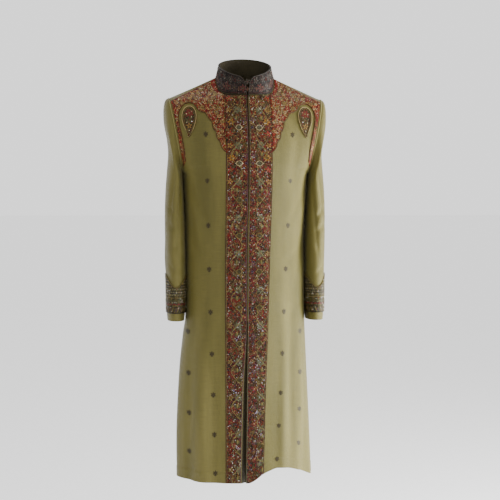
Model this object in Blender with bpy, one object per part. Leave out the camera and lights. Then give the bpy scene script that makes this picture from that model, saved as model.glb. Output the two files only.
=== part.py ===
"""A sherwani coat, worn and hollow, made as the pieces that are cut and sewn.

Metres, +Z up. The coat faces -Y, and its left side is at +X. The origin is the
middle of the neck opening, level with the side neck points, where the shoulders
carry the coat.
"""
import math

import bmesh
import bpy
from mathutils import Vector

# Cloth thicknesses and the gap that sewn pieces keep
CLOTH = 0.002
APPLIQUE = 0.0012
COLLAR_CLOTH = 0.0025
GAP = 0.0003
CUFF_GAP = 0.0006
COLLAR_CLEARANCE = 0.0015

# Heights, from the side neck points down
HEM = -1.092
UNDERARM = -0.262
NECK_FRONT = -0.053
NECK_BACK = 0.018
CUFF_TOP = -0.571
CUFF_ARCH = 0.036
CUFF_BOTTOM = -0.642
CUFF_ARCH_POWER = 1.5

# Neck opening and stand collar
NECK_HALF_WIDTH = 0.080
NECK_FRONT_DEPTH = 0.077
NECK_BACK_DEPTH = 0.062
NECK_SCOOP = 2.2
COLLAR_LEAN = 0.90
COLLAR_TOP_FRONT = -0.004
COLLAR_TOP_BACK = 0.060
COLLAR_RISE = 0.75
COLLAR_FROM_CENTRE = 0.0012
COLLAR_OPENING = 0.007
COLLAR_CORNER = 0.016
COLLAR_CORNER_START = 0.60

# Armhole, a flat oval from the underarm to the shoulder tip
CHEST_HALF_WIDTH = 0.172
SHOULDER_TIP_X = 0.210
SHOULDER_TIP_Z = -0.057
ARMHOLE_FRONT = 0.066
ARMHOLE_BACK = 0.062
ARMHOLE_SQUARENESS = 2.2

# The body's sections are squarish ovals; the upper chest flattens towards the shoulder
ROUNDNESS = 2.3
CHEST_FLATNESS = 1.15
CHEST_FLAT_FROM = 0.5
CENTRE_SHARE = 0.6

# Depths between which an outline is cut through the fronts
CUTTER_FRONT = -0.30
CUTTER_BACK = 0.02

# How finely the pieces are divided
SKIRT_ROWS = 13
CENTRE_ROWS = 7
NECK_ROWS = 6
PANEL_COLUMNS = 10
COLUMN_CROWDING = 1.25
SLEEVE_COLUMNS = 18
COLLAR_ROWS = 5
COLLAR_ROW_CROWDING = 1.5
COLLAR_LEAF_STEPS = 2
COLLAR_LEAF_COLUMNS = 3
BAND_POINTS = 24
NECK_POINTS = 8
SCALLOP_POINTS = 20
CUFF_ROWS = 3
SHARP_EDGE = 50

# Steps aside at which a direction out is measured, and halvings that find a height on a sleeve
UP_STEP = 0.02
TURN_STEP = 1
ANGLE_STEP = 4
ALONG_STEP = 0.2
PAST_ARMHOLE = 0.001
HALVINGS = 30


def table(columns, *rows):
    """Rows of numbers under named columns."""
    names = columns.split()
    return [dict(zip(names, row)) for row in rows]


# The body's sections: how far each reaches to the coat's right, left, front and back
BODY = table(
    "height right left front back",
    (HEM, 0.188, 0.186, 0.136, 0.134),
    (-0.95, 0.189, 0.180, 0.132, 0.131),
    (-0.80, 0.182, 0.172, 0.126, 0.124),
    (-0.70, 0.1715, 0.167, 0.121, 0.118),
    (-0.66, 0.1655, 0.1655, 0.119, 0.114),
    (-0.60, 0.165, 0.165, 0.116, 0.108),
    (-0.47, 0.165, 0.165, 0.112, 0.095),
    (-0.36, 0.168, 0.168, 0.118, 0.101),
    (UNDERARM, CHEST_HALF_WIDTH, CHEST_HALF_WIDTH, 0.122, 0.108),
)

CENTRE_FRONT = table(
    "height depth",
    (UNDERARM, 0.122),
    (-0.20, 0.120),
    (-0.15, 0.114),
    (-0.10, 0.099),
    (NECK_FRONT, NECK_FRONT_DEPTH),
)

CENTRE_BACK = table(
    "height depth",
    (UNDERARM, 0.108),
    (-0.19, 0.111),
    (-0.12, 0.107),
    (-0.06, 0.096),
    (-0.02, 0.081),
    (NECK_BACK, NECK_BACK_DEPTH),
)

# Soft vertical folds of the skirt: degrees round from the centre front, towards the left side
SKIRT_FOLDS = table(
    "around depth half_width top",
    (-80, 0.0050, 14, -0.66),
    (-58, -0.0030, 11, -0.74),
    (-36, 0.0020, 10, -0.82),
    (34, 0.0020, 9, -0.80),
    (50, -0.0045, 9, -0.70),
    (64, 0.0050, 9, -0.68),
    (80, -0.0030, 9, -0.72),
    (104, 0.0050, 12, -0.66),
    (126, -0.0050, 11, -0.60),
    (146, 0.0050, 12, -0.64),
    (168, -0.0040, 11, -0.58),
    (-166, 0.0045, 12, -0.62),
    (-143, -0.0055, 11, -0.60),
    (-122, 0.0050, 12, -0.68),
    (-102, -0.0035, 10, -0.70),
)

# How far the left front's lower edge is lifted, by distance from the centre line
HEM_LIFT = table(
    "x lift",
    (0.000, 0.000),
    (0.015, 0.008),
    (0.035, 0.023),
    (0.060, 0.034),
    (0.075, 0.038),
    (0.115, 0.033),
    (0.150, 0.018),
    (0.186, 0.000),
)
HEM_LIFT_TOP = -0.80

# The front opening: x of the upper front's edge, of the right band's end, and of the
# underlap's hidden edge, and how far the underlap lies behind the upper front
LAP = table(
    "height edge band_end under set_back",
    (HEM, -0.0110, -0.0245, 0.016, 0.0100),
    (-0.95, -0.0090, -0.0215, 0.019, 0.0080),
    (-0.81, -0.0068, -0.0165, 0.022, 0.0060),
    (-0.70, -0.0050, -0.0080, 0.026, 0.0042),
    (-0.45, -0.0025, -0.0055, 0.030, 0.0038),
    (UNDERARM, 0.0000, -0.0030, 0.030, 0.0038),
    (-0.115, 0.0008, -0.0030, 0.026, 0.0038),
    (-0.085, 0.0010, -0.0030, -0.0009, 0.0038),
    (NECK_FRONT, 0.0010, -0.0030, -0.0009, 0.0),
)

# The underlap's columns, the last of which stands this far before each of the two edges
UNDERLAP_COLUMNS = 3
UNDERLAP_BEND = 0.6
SHELF_BEFORE_EDGE = 0.0009
SHELF_BEFORE_UNDER = 0.0006
NECKLINE_STEP = 1.0

# Outer edges of the two embroidered front bands
BANDS = table(
    "height right left",
    (HEM, 0.0650, 0.0370),
    (-0.85, 0.0645, 0.0440),
    (-0.65, 0.0640, 0.0520),
    (-0.35, 0.0625, 0.0610),
    (UNDERARM, 0.0620, 0.0625),
    (NECK_FRONT, 0.0620, 0.0625),
)

# Lower edge of the yoke, from the front band to the paisley, before its scallops
YOKE_EDGE = table(
    "along x height",
    (0.00, 0.0635, -0.208),
    (0.22, 0.0790, -0.178),
    (0.45, 0.0905, -0.148),
    (0.68, 0.1030, -0.116),
    (0.84, 0.1190, -0.099),
    (1.00, 0.1370, -0.090),
)
SCALLOPS = 5
SCALLOP_DEPTH = 0.0035
SCALLOP_OUT = 0.6
SCALLOP_DOWN = 0.8

# The yoke's notch above the paisley, then the inner side of its strip down the armhole
YOKE_STRIP = table(
    "x height",
    (0.1405, -0.0830),
    (0.1480, -0.0765),
    (0.1570, -0.0745),
    (0.1660, -0.0765),
    (0.1750, -0.0840),
    (0.1820, -0.0960),
    (0.1850, -0.1120),
    (0.1820, -0.1350),
    (0.1755, -0.1650),
    (0.1690, -0.2010),
    (0.1660, -0.2300),
)
YOKE_END = -0.244
YOKE_FROM_ARMHOLE = 0.004
YOKE_FROM_TIP = 0.006
YOKE_NECK_START = 86
YOKE_FROM_RIDGE_AT_NECK = 0.0015
YOKE_FROM_RIDGE_AT_TIP = 0.010

# The paisley hangs point down
PAISLEY = table(
    "height middle half_width",
    (-0.0830, 0.1560, 0.0050),
    (-0.0880, 0.1565, 0.0125),
    (-0.0960, 0.1568, 0.0175),
    (-0.1080, 0.1570, 0.0200),
    (-0.1220, 0.1572, 0.0190),
    (-0.1360, 0.1572, 0.0150),
    (-0.1490, 0.1568, 0.0095),
    (-0.1590, 0.1572, 0.0050),
    (-0.1670, 0.1590, 0.0018),
)

# Sleeve sections, from the armhole to the cuff's edge, by their outer and inner points
SLEEVE = table(
    "outer_x outer_z inner_x inner_z front back middle",
    (SHOULDER_TIP_X, SHOULDER_TIP_Z, CHEST_HALF_WIDTH, UNDERARM, ARMHOLE_FRONT, ARMHOLE_BACK, 0.000),
    (0.2165, -0.0600, 0.1736, -0.267, 0.0665, 0.0630, 0.000),
    (0.2215, -0.0700, 0.1738, -0.275, 0.0670, 0.0640, 0.000),
    (0.2240, -0.0920, 0.1734, -0.285, 0.0670, 0.0650, 0.000),
    (0.2225, -0.1250, 0.1730, -0.297, 0.0670, 0.0650, 0.000),
    (0.2150, -0.1650, 0.1724, -0.310, 0.0670, 0.0650, 0.000),
    (0.2115, -0.2050, 0.1716, -0.325, 0.0670, 0.0650, 0.000),
    (0.2145, -0.2500, 0.1707, -0.344, 0.0665, 0.0650, -0.001),
    (0.2185, -0.3000, 0.1697, -0.368, 0.0660, 0.0645, -0.002),
    (0.2210, -0.3600, 0.1684, -0.404, 0.0655, 0.0640, -0.003),
    (0.2210, -0.4250, 0.1674, -0.447, 0.0645, 0.0630, -0.005),
    (0.2195, -0.4900, 0.1668, -0.496, 0.0630, 0.0615, -0.007),
    (0.2180, -0.5400, 0.1667, -0.541, 0.0610, 0.0595, -0.009),
    (0.2175, -0.5880, 0.1671, -0.588, 0.0590, 0.0575, -0.010),
    (0.2170, -0.6310, 0.1682, -0.631, 0.0570, 0.0560, -0.011),
    (0.2145, -0.6630, 0.1694, -0.663, 0.0545, 0.0535, -0.011),
)
SLEEVE_SQUARENESS = 2.3

# Colours and roughness of the cloths
SILK = ((0.36, 0.31, 0.15), 0.48)
RED = ((0.26, 0.07, 0.03), 0.62)
GOLD = ((0.27, 0.16, 0.07), 0.55)
OLIVE = ((0.16, 0.12, 0.05), 0.60)


def blend(low, high, share):
    return low + (high - low) * share


def ramp(low, high, value):
    """A soft step from 0 at low to 1 at high."""
    share = min(1.0, max(0.0, (value - low) / (high - low)))
    return share * share * (3 - 2 * share)


def read(rows, key, column, value):
    """One column of a table at any value of its key, on a smooth curve through the rows."""
    last = len(rows) - 2
    spot = next((i for i in range(last) if value < rows[i + 1][key]), last)

    def slope(i):
        before, after = rows[max(0, i - 1)], rows[min(last + 1, i + 1)]
        return (after[column] - before[column]) / (after[key] - before[key])

    low, high = rows[spot], rows[spot + 1]
    step = high[key] - low[key]
    t = min(1.0, max(0.0, (value - low[key]) / step))
    start = (2 * t**3 - 3 * t**2 + 1) * low[column] + (t**3 - 2 * t**2 + t) * step * slope(spot)
    end = (3 * t**2 - 2 * t**3) * high[column] + (t**3 - t**2) * step * slope(spot + 1)
    return start + end


def oval(angle, squareness):
    """Cosine and sine of an angle, pressed towards a square."""
    along = math.copysign(abs(math.cos(angle)) ** (2 / squareness), math.cos(angle))
    across = math.copysign(abs(math.sin(angle)) ** (2 / squareness), math.sin(angle))
    return along, across


def neck(angle):
    """The neckline, by degrees round from the centre front."""
    sine = math.sin(math.radians(angle))
    cosine = math.cos(math.radians(angle))
    x = NECK_HALF_WIDTH * sine
    if cosine > 0:
        return Vector((x, -NECK_FRONT_DEPTH * cosine, NECK_FRONT * (1 - (1 - cosine) ** NECK_SCOOP)))
    return Vector((x, -NECK_BACK_DEPTH * cosine, NECK_BACK * (-cosine)))


def inner_edge(face, up):
    """The centre line up to the neck, then the neckline out to the side neck point."""
    if up > CENTRE_SHARE:
        quarter = 90 * (up - CENTRE_SHARE) / (1 - CENTRE_SHARE)
        return neck(quarter if face < 0 else 180 - quarter)
    top, line = (NECK_FRONT, CENTRE_FRONT) if face < 0 else (NECK_BACK, CENTRE_BACK)
    height = blend(UNDERARM, top, up / CENTRE_SHARE)
    return Vector((0, face * read(line, "height", "depth", height), height))


def armhole(face, up):
    """The armhole seam from the underarm, at 0, to the shoulder tip, at 1."""
    along, across = oval(math.pi * (1 - up), ARMHOLE_SQUARENESS)
    share = (1 + along) / 2
    depth = ARMHOLE_FRONT if face < 0 else ARMHOLE_BACK
    x = blend(CHEST_HALF_WIDTH, SHOULDER_TIP_X, share)
    return Vector((x, face * depth * across, blend(UNDERARM, SHOULDER_TIP_Z, share)))


def fold_depth(around, height):
    """How far the skirt's folds push the cloth out at a place."""
    total = 0.0
    for fold in SKIRT_FOLDS:
        turn = abs((around - fold["around"] + 180) % 360 - 180)
        if turn < fold["half_width"]:
            crest = math.cos(math.pi / 2 * turn / fold["half_width"]) ** 2
            total += fold["depth"] * crest * ramp(fold["top"], HEM, height)
    return total


def half_width(side, height):
    """How far the body reaches sideways, on the coat's right (-1) or left (1) side."""
    return read(BODY, "height", "left" if side > 0 else "right", height)


def body(side, face, turn, up):
    """A point of the coat's outside. Turn is 0 degrees at the centre line and 90 at the side;
    up is -1 at the hem, 0 at the underarm and 1 at the shoulder seam."""
    sine = abs(math.sin(math.radians(turn)))
    cosine = math.cos(math.radians(turn))
    reach = sine ** (2 / ROUNDNESS)
    sign = side * math.copysign(1, turn)
    if up > 0:
        start = inner_edge(face, up)
        end = armhole(face, up)
        curve = blend(ROUNDNESS, CHEST_FLATNESS, ramp(0, CHEST_FLAT_FROM, up))
        y = end.y + (start.y - end.y) * cosine ** (2 / curve)
        return Vector((sign * blend(start.x, end.x, reach), y, blend(start.z, end.z, reach)))
    height = blend(UNDERARM, HEM, -up)
    width = half_width(side, height)
    depth = read(BODY, "height", "front" if face < 0 else "back", height)
    point = Vector((sign * width * reach, face * depth * cosine ** (2 / ROUNDNESS), height))
    around = turn if face < 0 else 180 - turn
    outwards = Vector((point.x / width**2, point.y / depth**2, 0)).normalized()
    point += outwards * fold_depth(side * around, height)
    if point.x > 0 and face < 0:
        point.z += read(HEM_LIFT, "x", "lift", point.x) * ramp(HEM_LIFT_TOP, HEM, height)
    return point


def body_normal(side, face, turn, up):
    """The outward direction of the coat's surface at a place."""
    seam_turn = min(turn, 90)
    low, high = max(-1, up - UP_STEP), min(1, up + UP_STEP)
    along = body(side, face, seam_turn, high) - body(side, face, seam_turn, low)
    if turn >= 90 and up <= 0 or up >= 1:
        edge = along if up <= 0 else body(side, face, 90, 1) - body(side, face, 0, 1)
        normal = edge.cross(Vector((0, 1, 0)))
        outside = Vector((side, 0, 0.2))
    else:
        sideways = body(side, face, min(90, turn + TURN_STEP), up) - body(side, face, turn - TURN_STEP, up)
        normal = along.cross(sideways)
        outside = Vector((0.3 * side, face, 0.3))
    normal.normalize()
    return normal if normal.dot(outside) > 0 else -normal


def turn_at(reach):
    """Degrees round from the centre line, for a share of the way across."""
    share = min(1.0, abs(reach))
    return math.copysign(math.degrees(math.asin(share ** (ROUNDNESS / 2))), reach)


def lap(column, height):
    return read(LAP, "height", column, height)


def row_ups():
    skirt = [-1 + i / SKIRT_ROWS for i in range(SKIRT_ROWS)]
    chest = [CENTRE_SHARE * i / CENTRE_ROWS for i in range(CENTRE_ROWS)]
    return skirt + chest + [blend(CENTRE_SHARE, 1, i / NECK_ROWS) for i in range(NECK_ROWS + 1)]


def seam_shift(side, face, turn, up):
    """Half a seam's gap, where a panel ends at the side, the shoulder or the centre back."""
    if (turn >= 90 and up <= 0) or up >= 1:
        return Vector((0, face * GAP / 2, 0))
    if face > 0 and turn == 0:
        return Vector((side * GAP / 2, 0, 0))
    return Vector((0, 0, 0))


def material(name, colour, roughness):
    made = bpy.data.materials.new(name)
    made.use_nodes = True
    shader = made.node_tree.nodes["Principled BSDF"]
    shader.inputs["Base Color"].default_value = (*colour, 1)
    shader.inputs["Roughness"].default_value = roughness
    shader.inputs["Metallic"].default_value = 0.0
    return made


def cloth(name, finish, outside, inside, tube=False):
    """A wall of cloth between two grids of points; a tube's columns join round. Both skins are
    split along the same diagonals, so that a patch moved out from a panel lies true on it."""
    mesh = bpy.data.meshes.new(name)
    work = bmesh.new()
    skins = [[[work.verts.new(point) for point in row] for row in grid] for grid in (outside, inside)]
    outer, inner = skins
    rows, columns = len(outside), len(outside[0])
    steps = columns if tube else columns - 1
    for i in range(rows - 1):
        for j in range(steps):
            k = (j + 1) % columns
            work.faces.new((outer[i][j], outer[i][k], outer[i + 1][k]))
            work.faces.new((outer[i][j], outer[i + 1][k], outer[i + 1][j]))
            work.faces.new((inner[i][j], inner[i + 1][k], inner[i][k]))
            work.faces.new((inner[i][j], inner[i + 1][j], inner[i + 1][k]))
    for j in range(steps):
        k = (j + 1) % columns
        work.faces.new((outer[0][j], inner[0][j], inner[0][k], outer[0][k]))
        work.faces.new((outer[-1][j], outer[-1][k], inner[-1][k], inner[-1][j]))
    for i in range(0 if tube else rows - 1):
        work.faces.new((outer[i][0], outer[i + 1][0], inner[i + 1][0], inner[i][0]))
        work.faces.new((outer[i][-1], inner[i][-1], inner[i + 1][-1], outer[i + 1][-1]))
    bmesh.ops.recalc_face_normals(work, faces=work.faces)
    work.to_mesh(mesh)
    work.free()
    mesh.shade_smooth()
    mesh.set_sharp_from_angle(angle=math.radians(SHARP_EDGE))
    mesh.materials.append(material(name, *finish))
    return place(name, mesh)


def place(name, mesh):
    piece = bpy.data.objects.new(name, mesh)
    bpy.context.scene.collection.objects.link(piece)
    return piece


def cutter(name, outline):
    """A guide block whose outline, seen from the front, is a list of x and height."""
    work = bmesh.new()
    face = work.faces.new([work.verts.new((x, CUTTER_FRONT, height)) for x, height in outline])
    swept = bmesh.ops.extrude_face_region(work, geom=[face])["geom"]
    moved = [part for part in swept if isinstance(part, bmesh.types.BMVert)]
    bmesh.ops.translate(work, verts=moved, vec=(0, CUTTER_BACK - CUTTER_FRONT, 0))
    bmesh.ops.recalc_face_normals(work, faces=work.faces)
    mesh = bpy.data.meshes.new(name)
    work.to_mesh(mesh)
    work.free()
    guide = place(name, mesh)
    guide.hide_render = True
    guide.display_type = "WIRE"
    return guide


def panel_points(side, face, turns_of_row, set_back=None):
    """The points of a panel's outside, from the hem to the shoulder seam, and their directions out."""
    points, normals = [], []
    for up in row_ups():
        point_row, normal_row = [], []
        for place_side, turn in turns_of_row(up):
            normal = body_normal(place_side, face, turn, up)
            point = body(place_side, face, turn, up) + seam_shift(place_side, face, turn, up)
            if set_back:
                point -= normal * set_back(point)
            point_row.append(point)
            normal_row.append(normal)
        points.append(point_row)
        normals.append(normal_row)
    return points, normals


def moved_out(points, normals, distance):
    return [[p + n * distance for p, n in zip(*rows)] for rows in zip(points, normals)]


def panel(name, points, normals):
    cloth(name, SILK, points, moved_out(points, normals, -CLOTH))


def applique(name, finish, panel_shape, side, outline):
    """A patch made from its panel's points, moved out, and cut to an outline seen from the front."""
    outside = moved_out(*panel_shape, GAP + APPLIQUE)
    inside = moved_out(*panel_shape, GAP)
    piece = cloth(name, finish, outside, inside)
    cut = piece.modifiers.new("outline", "BOOLEAN")
    cut.operation = "INTERSECT"
    cut.solver = "EXACT"
    cut.object = cutter(name + "_outline", [(side * x, height) for x, height in outline])


def row_height(up):
    return blend(UNDERARM, HEM, -up) if up <= 0 else inner_edge(-1, min(up, CENTRE_SHARE)).z


def row_half_width(side, up):
    return half_width(side, row_height(up)) if up <= 0 else armhole(-1, up).x


def spread(first):
    """Turns from a panel's first column to its side, closer together near the centre."""
    shares = [(j / PANEL_COLUMNS) ** COLUMN_CROWDING for j in range(PANEL_COLUMNS + 1)]
    return [blend(first, 90, share) for share in shares]


def left_front_turns(up):
    """The upper front starts at the opening's edge, or on the neckline."""
    first = 0.0
    if up <= CENTRE_SHARE:
        first = turn_at(lap("edge", row_height(up)) / row_half_width(1, up))
    return [(1, turn) for turn in spread(first)]


def lap_shelf(height):
    """The x at which the lower front has stepped fully behind the upper one."""
    return min(lap("edge", height) - SHELF_BEFORE_EDGE, lap("under", height) - SHELF_BEFORE_UNDER)


def right_front_turns(up):
    """The lower front starts at the underlap's hidden edge. On the neckline, where it has no
    underlap, the same columns lie close together."""
    turns = [column * NECKLINE_STEP for column in range(UNDERLAP_COLUMNS)]
    first = UNDERLAP_COLUMNS * NECKLINE_STEP
    if up <= CENTRE_SHARE:
        height, width = row_height(up), row_half_width(-1, up)
        under, shelf = lap("under", height), lap_shelf(height)
        turns = [turn_at(-x / width) for x in (under, blend(under, shelf, UNDERLAP_BEND), shelf)]
        first = turn_at(-lap("band_end", height) / width)
    return [(-1, turn) for turn in turns + spread(first)]


def underlap_set_back(point):
    if point.z > NECK_FRONT or abs(point.x) > NECK_HALF_WIDTH:
        return 0.0
    return lap("set_back", point.z) * ramp(lap("band_end", point.z), lap_shelf(point.z), point.x)


def build_fronts_with_trim():
    left = panel_points(1, -1, left_front_turns)
    right = panel_points(-1, -1, right_front_turns, underlap_set_back)
    for name, side, shape in (("left", 1, left), ("right", -1, right)):
        panel("front_" + name, *shape)
        applique("band_" + name, GOLD, shape, side, band_outline(name))
        applique("yoke_" + name, RED, shape, side, yoke_outline())
        applique("paisley_" + name, OLIVE, shape, side, paisley_outline())


def neckline_from_front(first, last):
    """Points of the neckline as seen from the front, kept clear of the collar's foot."""
    marks = [blend(first, last, i / NECK_POINTS) for i in range(NECK_POINTS + 1)]
    return [(neck(angle).x + COLLAR_CLEARANCE, neck(angle).z - COLLAR_CLEARANCE) for angle in marks]


def band_outline(name):
    heights = [blend(HEM - COLLAR_CLEARANCE, NECK_FRONT, i / BAND_POINTS) for i in range(BAND_POINTS)]
    if name == "left":
        inner = [(lap("edge", height) + GAP, height) for height in heights]
    else:
        inner = [(GAP - lap("band_end", height), height) for height in heights]
    outer = [(read(BANDS, "height", name, height), height) for height in heights]
    outer_top = outer[-1][0] - COLLAR_CLEARANCE
    corner = math.degrees(math.asin(outer_top / NECK_HALF_WIDTH))
    return inner + neckline_from_front(0, corner) + outer[::-1]


def yoke_outline():
    points = []
    for i in range(SCALLOP_POINTS + 1):
        along = i / SCALLOP_POINTS
        lobe = SCALLOP_DEPTH * abs(math.sin(math.pi * SCALLOPS * along))
        x = read(YOKE_EDGE, "along", "x", along) + SCALLOP_OUT * lobe
        points.append((x, read(YOKE_EDGE, "along", "height", along) - SCALLOP_DOWN * lobe))
    points += [(row["x"], row["height"]) for row in YOKE_STRIP]
    seam_lean = (SHOULDER_TIP_X - CHEST_HALF_WIDTH) / (SHOULDER_TIP_Z - UNDERARM)
    foot = SHOULDER_TIP_X + (YOKE_END - SHOULDER_TIP_Z) * seam_lean - YOKE_FROM_ARMHOLE
    points.append((foot, YOKE_END))
    points.append((SHOULDER_TIP_X - YOKE_FROM_TIP, SHOULDER_TIP_Z - YOKE_FROM_RIDGE_AT_TIP))
    points.append((NECK_HALF_WIDTH + COLLAR_CLEARANCE, -YOKE_FROM_RIDGE_AT_NECK))
    corner = math.degrees(math.asin((YOKE_EDGE[0]["x"] - COLLAR_CLEARANCE) / NECK_HALF_WIDTH))
    return points + neckline_from_front(YOKE_NECK_START, corner)


def paisley_outline():
    right = [(row["middle"] + row["half_width"], row["height"]) for row in PAISLEY]
    left = [(row["middle"] - row["half_width"], row["height"]) for row in reversed(PAISLEY)]
    return right + left


def build_backs():
    for name, side in (("back_left", 1), ("back_right", -1)):
        panel(name, *panel_points(side, 1, lambda up: [(side, turn) for turn in spread(0)]))


def sleeve(side, angle, along):
    """A point of a sleeve's outside. Angle is 0 at its outer side and 90 degrees at its front;
    along counts the sections from the armhole."""
    spot = table_row(SLEEVE, along)
    length, depth = oval(math.radians(angle), blend(ARMHOLE_SQUARENESS, SLEEVE_SQUARENESS, min(1, along)))
    outer = Vector((spot["outer_x"], 0, spot["outer_z"]))
    inner = Vector((spot["inner_x"], 0, spot["inner_z"]))
    point = (outer + inner) / 2 + (outer - inner) / 2 * length
    point.y = spot["middle"] - depth * (spot["front"] if depth > 0 else spot["back"])
    if along <= 0:
        point += armhole_axis() * GAP
    return Vector((side * point.x, point.y, point.z))


def armhole_axis():
    """The direction out through the left armhole, square to its seam."""
    seam = Vector((SHOULDER_TIP_X - CHEST_HALF_WIDTH, 0, SHOULDER_TIP_Z - UNDERARM)).normalized()
    return Vector((seam.z, 0, -seam.x))


def table_row(rows, along):
    """All columns of a table at a place between its rows."""
    counted = [dict(row, count=i) for i, row in enumerate(rows)]
    return {column: read(counted, "count", column, along) for column in rows[0]}


def sleeve_normal(side, angle, along):
    ahead = sleeve(side, angle + ANGLE_STEP, along) - sleeve(side, angle - ANGLE_STEP, along)
    if along <= 0:
        axis = armhole_axis()
        axis.x *= side
        normal = ahead.cross(axis)
    else:
        low, high = max(PAST_ARMHOLE, along - ALONG_STEP), min(len(SLEEVE) - 1, along + ALONG_STEP)
        normal = ahead.cross(sleeve(side, angle, high) - sleeve(side, angle, low))
    middle = (sleeve(side, 0, along) + sleeve(side, 180, along)) / 2
    normal.normalize()
    return normal if normal.dot(sleeve(side, angle, along) - middle) > 0 else -normal


def sleeve_along(side, angle, height):
    """Count of sections down a sleeve at which one of its lines reaches a height."""
    low, high = 0.0, len(SLEEVE) - 1.0
    for _ in range(HALVINGS):
        middle = (low + high) / 2
        if sleeve(side, angle, middle).z > height:
            low = middle
        else:
            high = middle
    return low


def sleeve_angles():
    return [360 * j / SLEEVE_COLUMNS for j in range(SLEEVE_COLUMNS)]


def build_sleeves():
    for name, side in (("sleeve_left", 1), ("sleeve_right", -1)):
        outside, inside = [], []
        for along in range(len(SLEEVE)):
            ring = [sleeve(side, angle, along) for angle in sleeve_angles()]
            normals = [sleeve_normal(side, angle, along) for angle in sleeve_angles()]
            outside.append(ring)
            inside.append([point - normal * CLOTH for point, normal in zip(ring, normals)])
        cloth(name, SILK, outside, inside, tube=True)


def build_cuffs():
    """Embroidered cuffs, arched higher at the outer and the inner side of the sleeve."""
    for name, side in (("cuff_left", 1), ("cuff_right", -1)):
        outside, inside = [], []
        for i in range(CUFF_ROWS + 1):
            outer_row, inner_row = [], []
            for angle in sleeve_angles():
                arch = CUFF_ARCH * abs(math.cos(math.radians(angle))) ** CUFF_ARCH_POWER
                height = blend(CUFF_BOTTOM, CUFF_TOP + arch, i / CUFF_ROWS)
                along = sleeve_along(side, angle, height)
                point = sleeve(side, angle, along)
                normal = sleeve_normal(side, angle, along)
                inner_row.append(point + normal * CUFF_GAP)
                outer_row.append(point + normal * (CUFF_GAP + APPLIQUE))
            outside.append(outer_row)
            inside.append(inner_row)
        cloth(name, GOLD, outside, inside, tube=True)


def collar_start(rise):
    """Degrees from the centre front at which a leaf's front edge lies, at a share of its height."""
    corner = max(0.0, (rise - COLLAR_CORNER_START) / (1 - COLLAR_CORNER_START))
    away = COLLAR_FROM_CENTRE + COLLAR_OPENING * rise + COLLAR_CORNER * (1 - math.sqrt(1 - corner**2))
    return math.degrees(math.asin(away / NECK_HALF_WIDTH))


def collar_angles(rise):
    """Degrees round the collar, on the panels' own points but for the front edges of the leaves."""
    step = 90 / NECK_ROWS
    leaf_end = COLLAR_LEAF_STEPS * step
    start = collar_start(rise)
    leaf = [blend(start, leaf_end, j / COLLAR_LEAF_COLUMNS) for j in range(COLLAR_LEAF_COLUMNS)]
    middle = [step * j for j in range(COLLAR_LEAF_STEPS, 4 * NECK_ROWS - COLLAR_LEAF_STEPS + 1)]
    return leaf + middle + [360 - angle for angle in reversed(leaf)]


def collar_point(angle, rise):
    foot = neck(angle) + Vector((0, 0, GAP))
    share = (1 - math.cos(math.radians(angle))) / 2
    top = neck(angle) * COLLAR_LEAN
    top.z = blend(COLLAR_TOP_FRONT, COLLAR_TOP_BACK, share**COLLAR_RISE)
    return foot.lerp(top, rise)


def build_collar():
    """The stand collar, one strip round the neck with two rounded leaves in front."""
    outside, inside = [], []
    for i in range(COLLAR_ROWS + 1):
        rise = 1 - (1 - i / COLLAR_ROWS) ** COLLAR_ROW_CROWDING
        outer_row, inner_row = [], []
        for angle in collar_angles(rise):
            point = collar_point(angle, rise)
            outwards = Vector((math.sin(math.radians(angle)), -math.cos(math.radians(angle)), 0))
            outer_row.append(point)
            inner_row.append(point - outwards * COLLAR_CLOTH)
        outside.append(outer_row)
        inside.append(inner_row)
    cloth("collar", GOLD, outside, inside)


def main():
    for thing in list(bpy.data.objects):
        bpy.data.objects.remove(thing)
    build_fronts_with_trim()
    build_backs()
    build_sleeves()
    build_cuffs()
    build_collar()


main()
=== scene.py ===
"""The looks of a sherwani coat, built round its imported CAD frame.

Metres, +Z up. The coat faces -Y and its left side is at +X. Each cloth piece of
the frame gives way to a finer shell on the same form, with its creases, turned
edges, embroidery, cords and sequins. The forms repeat the part's own formulas.
"""

import math

import bpy
import numpy as np
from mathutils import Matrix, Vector
from mathutils.geometry import delaunay_2d_cdt


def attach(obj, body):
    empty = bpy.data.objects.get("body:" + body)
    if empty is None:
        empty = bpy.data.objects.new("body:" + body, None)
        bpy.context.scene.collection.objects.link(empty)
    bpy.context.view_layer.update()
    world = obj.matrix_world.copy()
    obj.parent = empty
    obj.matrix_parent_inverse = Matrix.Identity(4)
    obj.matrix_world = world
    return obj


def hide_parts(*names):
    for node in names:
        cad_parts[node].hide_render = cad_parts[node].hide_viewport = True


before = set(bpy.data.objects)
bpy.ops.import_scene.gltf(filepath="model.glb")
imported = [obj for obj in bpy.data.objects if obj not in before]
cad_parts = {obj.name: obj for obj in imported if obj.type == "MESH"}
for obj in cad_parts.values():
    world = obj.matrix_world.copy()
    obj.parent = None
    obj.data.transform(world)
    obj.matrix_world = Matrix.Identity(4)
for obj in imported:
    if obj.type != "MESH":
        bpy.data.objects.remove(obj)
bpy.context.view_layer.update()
chance = np.random.default_rng(11)

# Cloth thicknesses, and the gaps under applied cloth, at the seams and round the collar
CLOTH = 0.002
APPLIQUE = 0.0012
COLLAR_CLOTH = 0.0025
GAP = 0.0003
SEWN_GAP = 0.00006
COLLAR_CLEARANCE = 0.0015

# Heights, from the side neck points down
HEM = -1.092
UNDERARM = -0.262
SKIRT_LENGTH = UNDERARM - HEM
NECK_FRONT = -0.053
NECK_BACK = 0.018
CUFF_TOP = -0.571
CUFF_ARCH = 0.036
CUFF_ARCH_POWER = 1.5
CUFF_BOTTOM = -0.642

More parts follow.
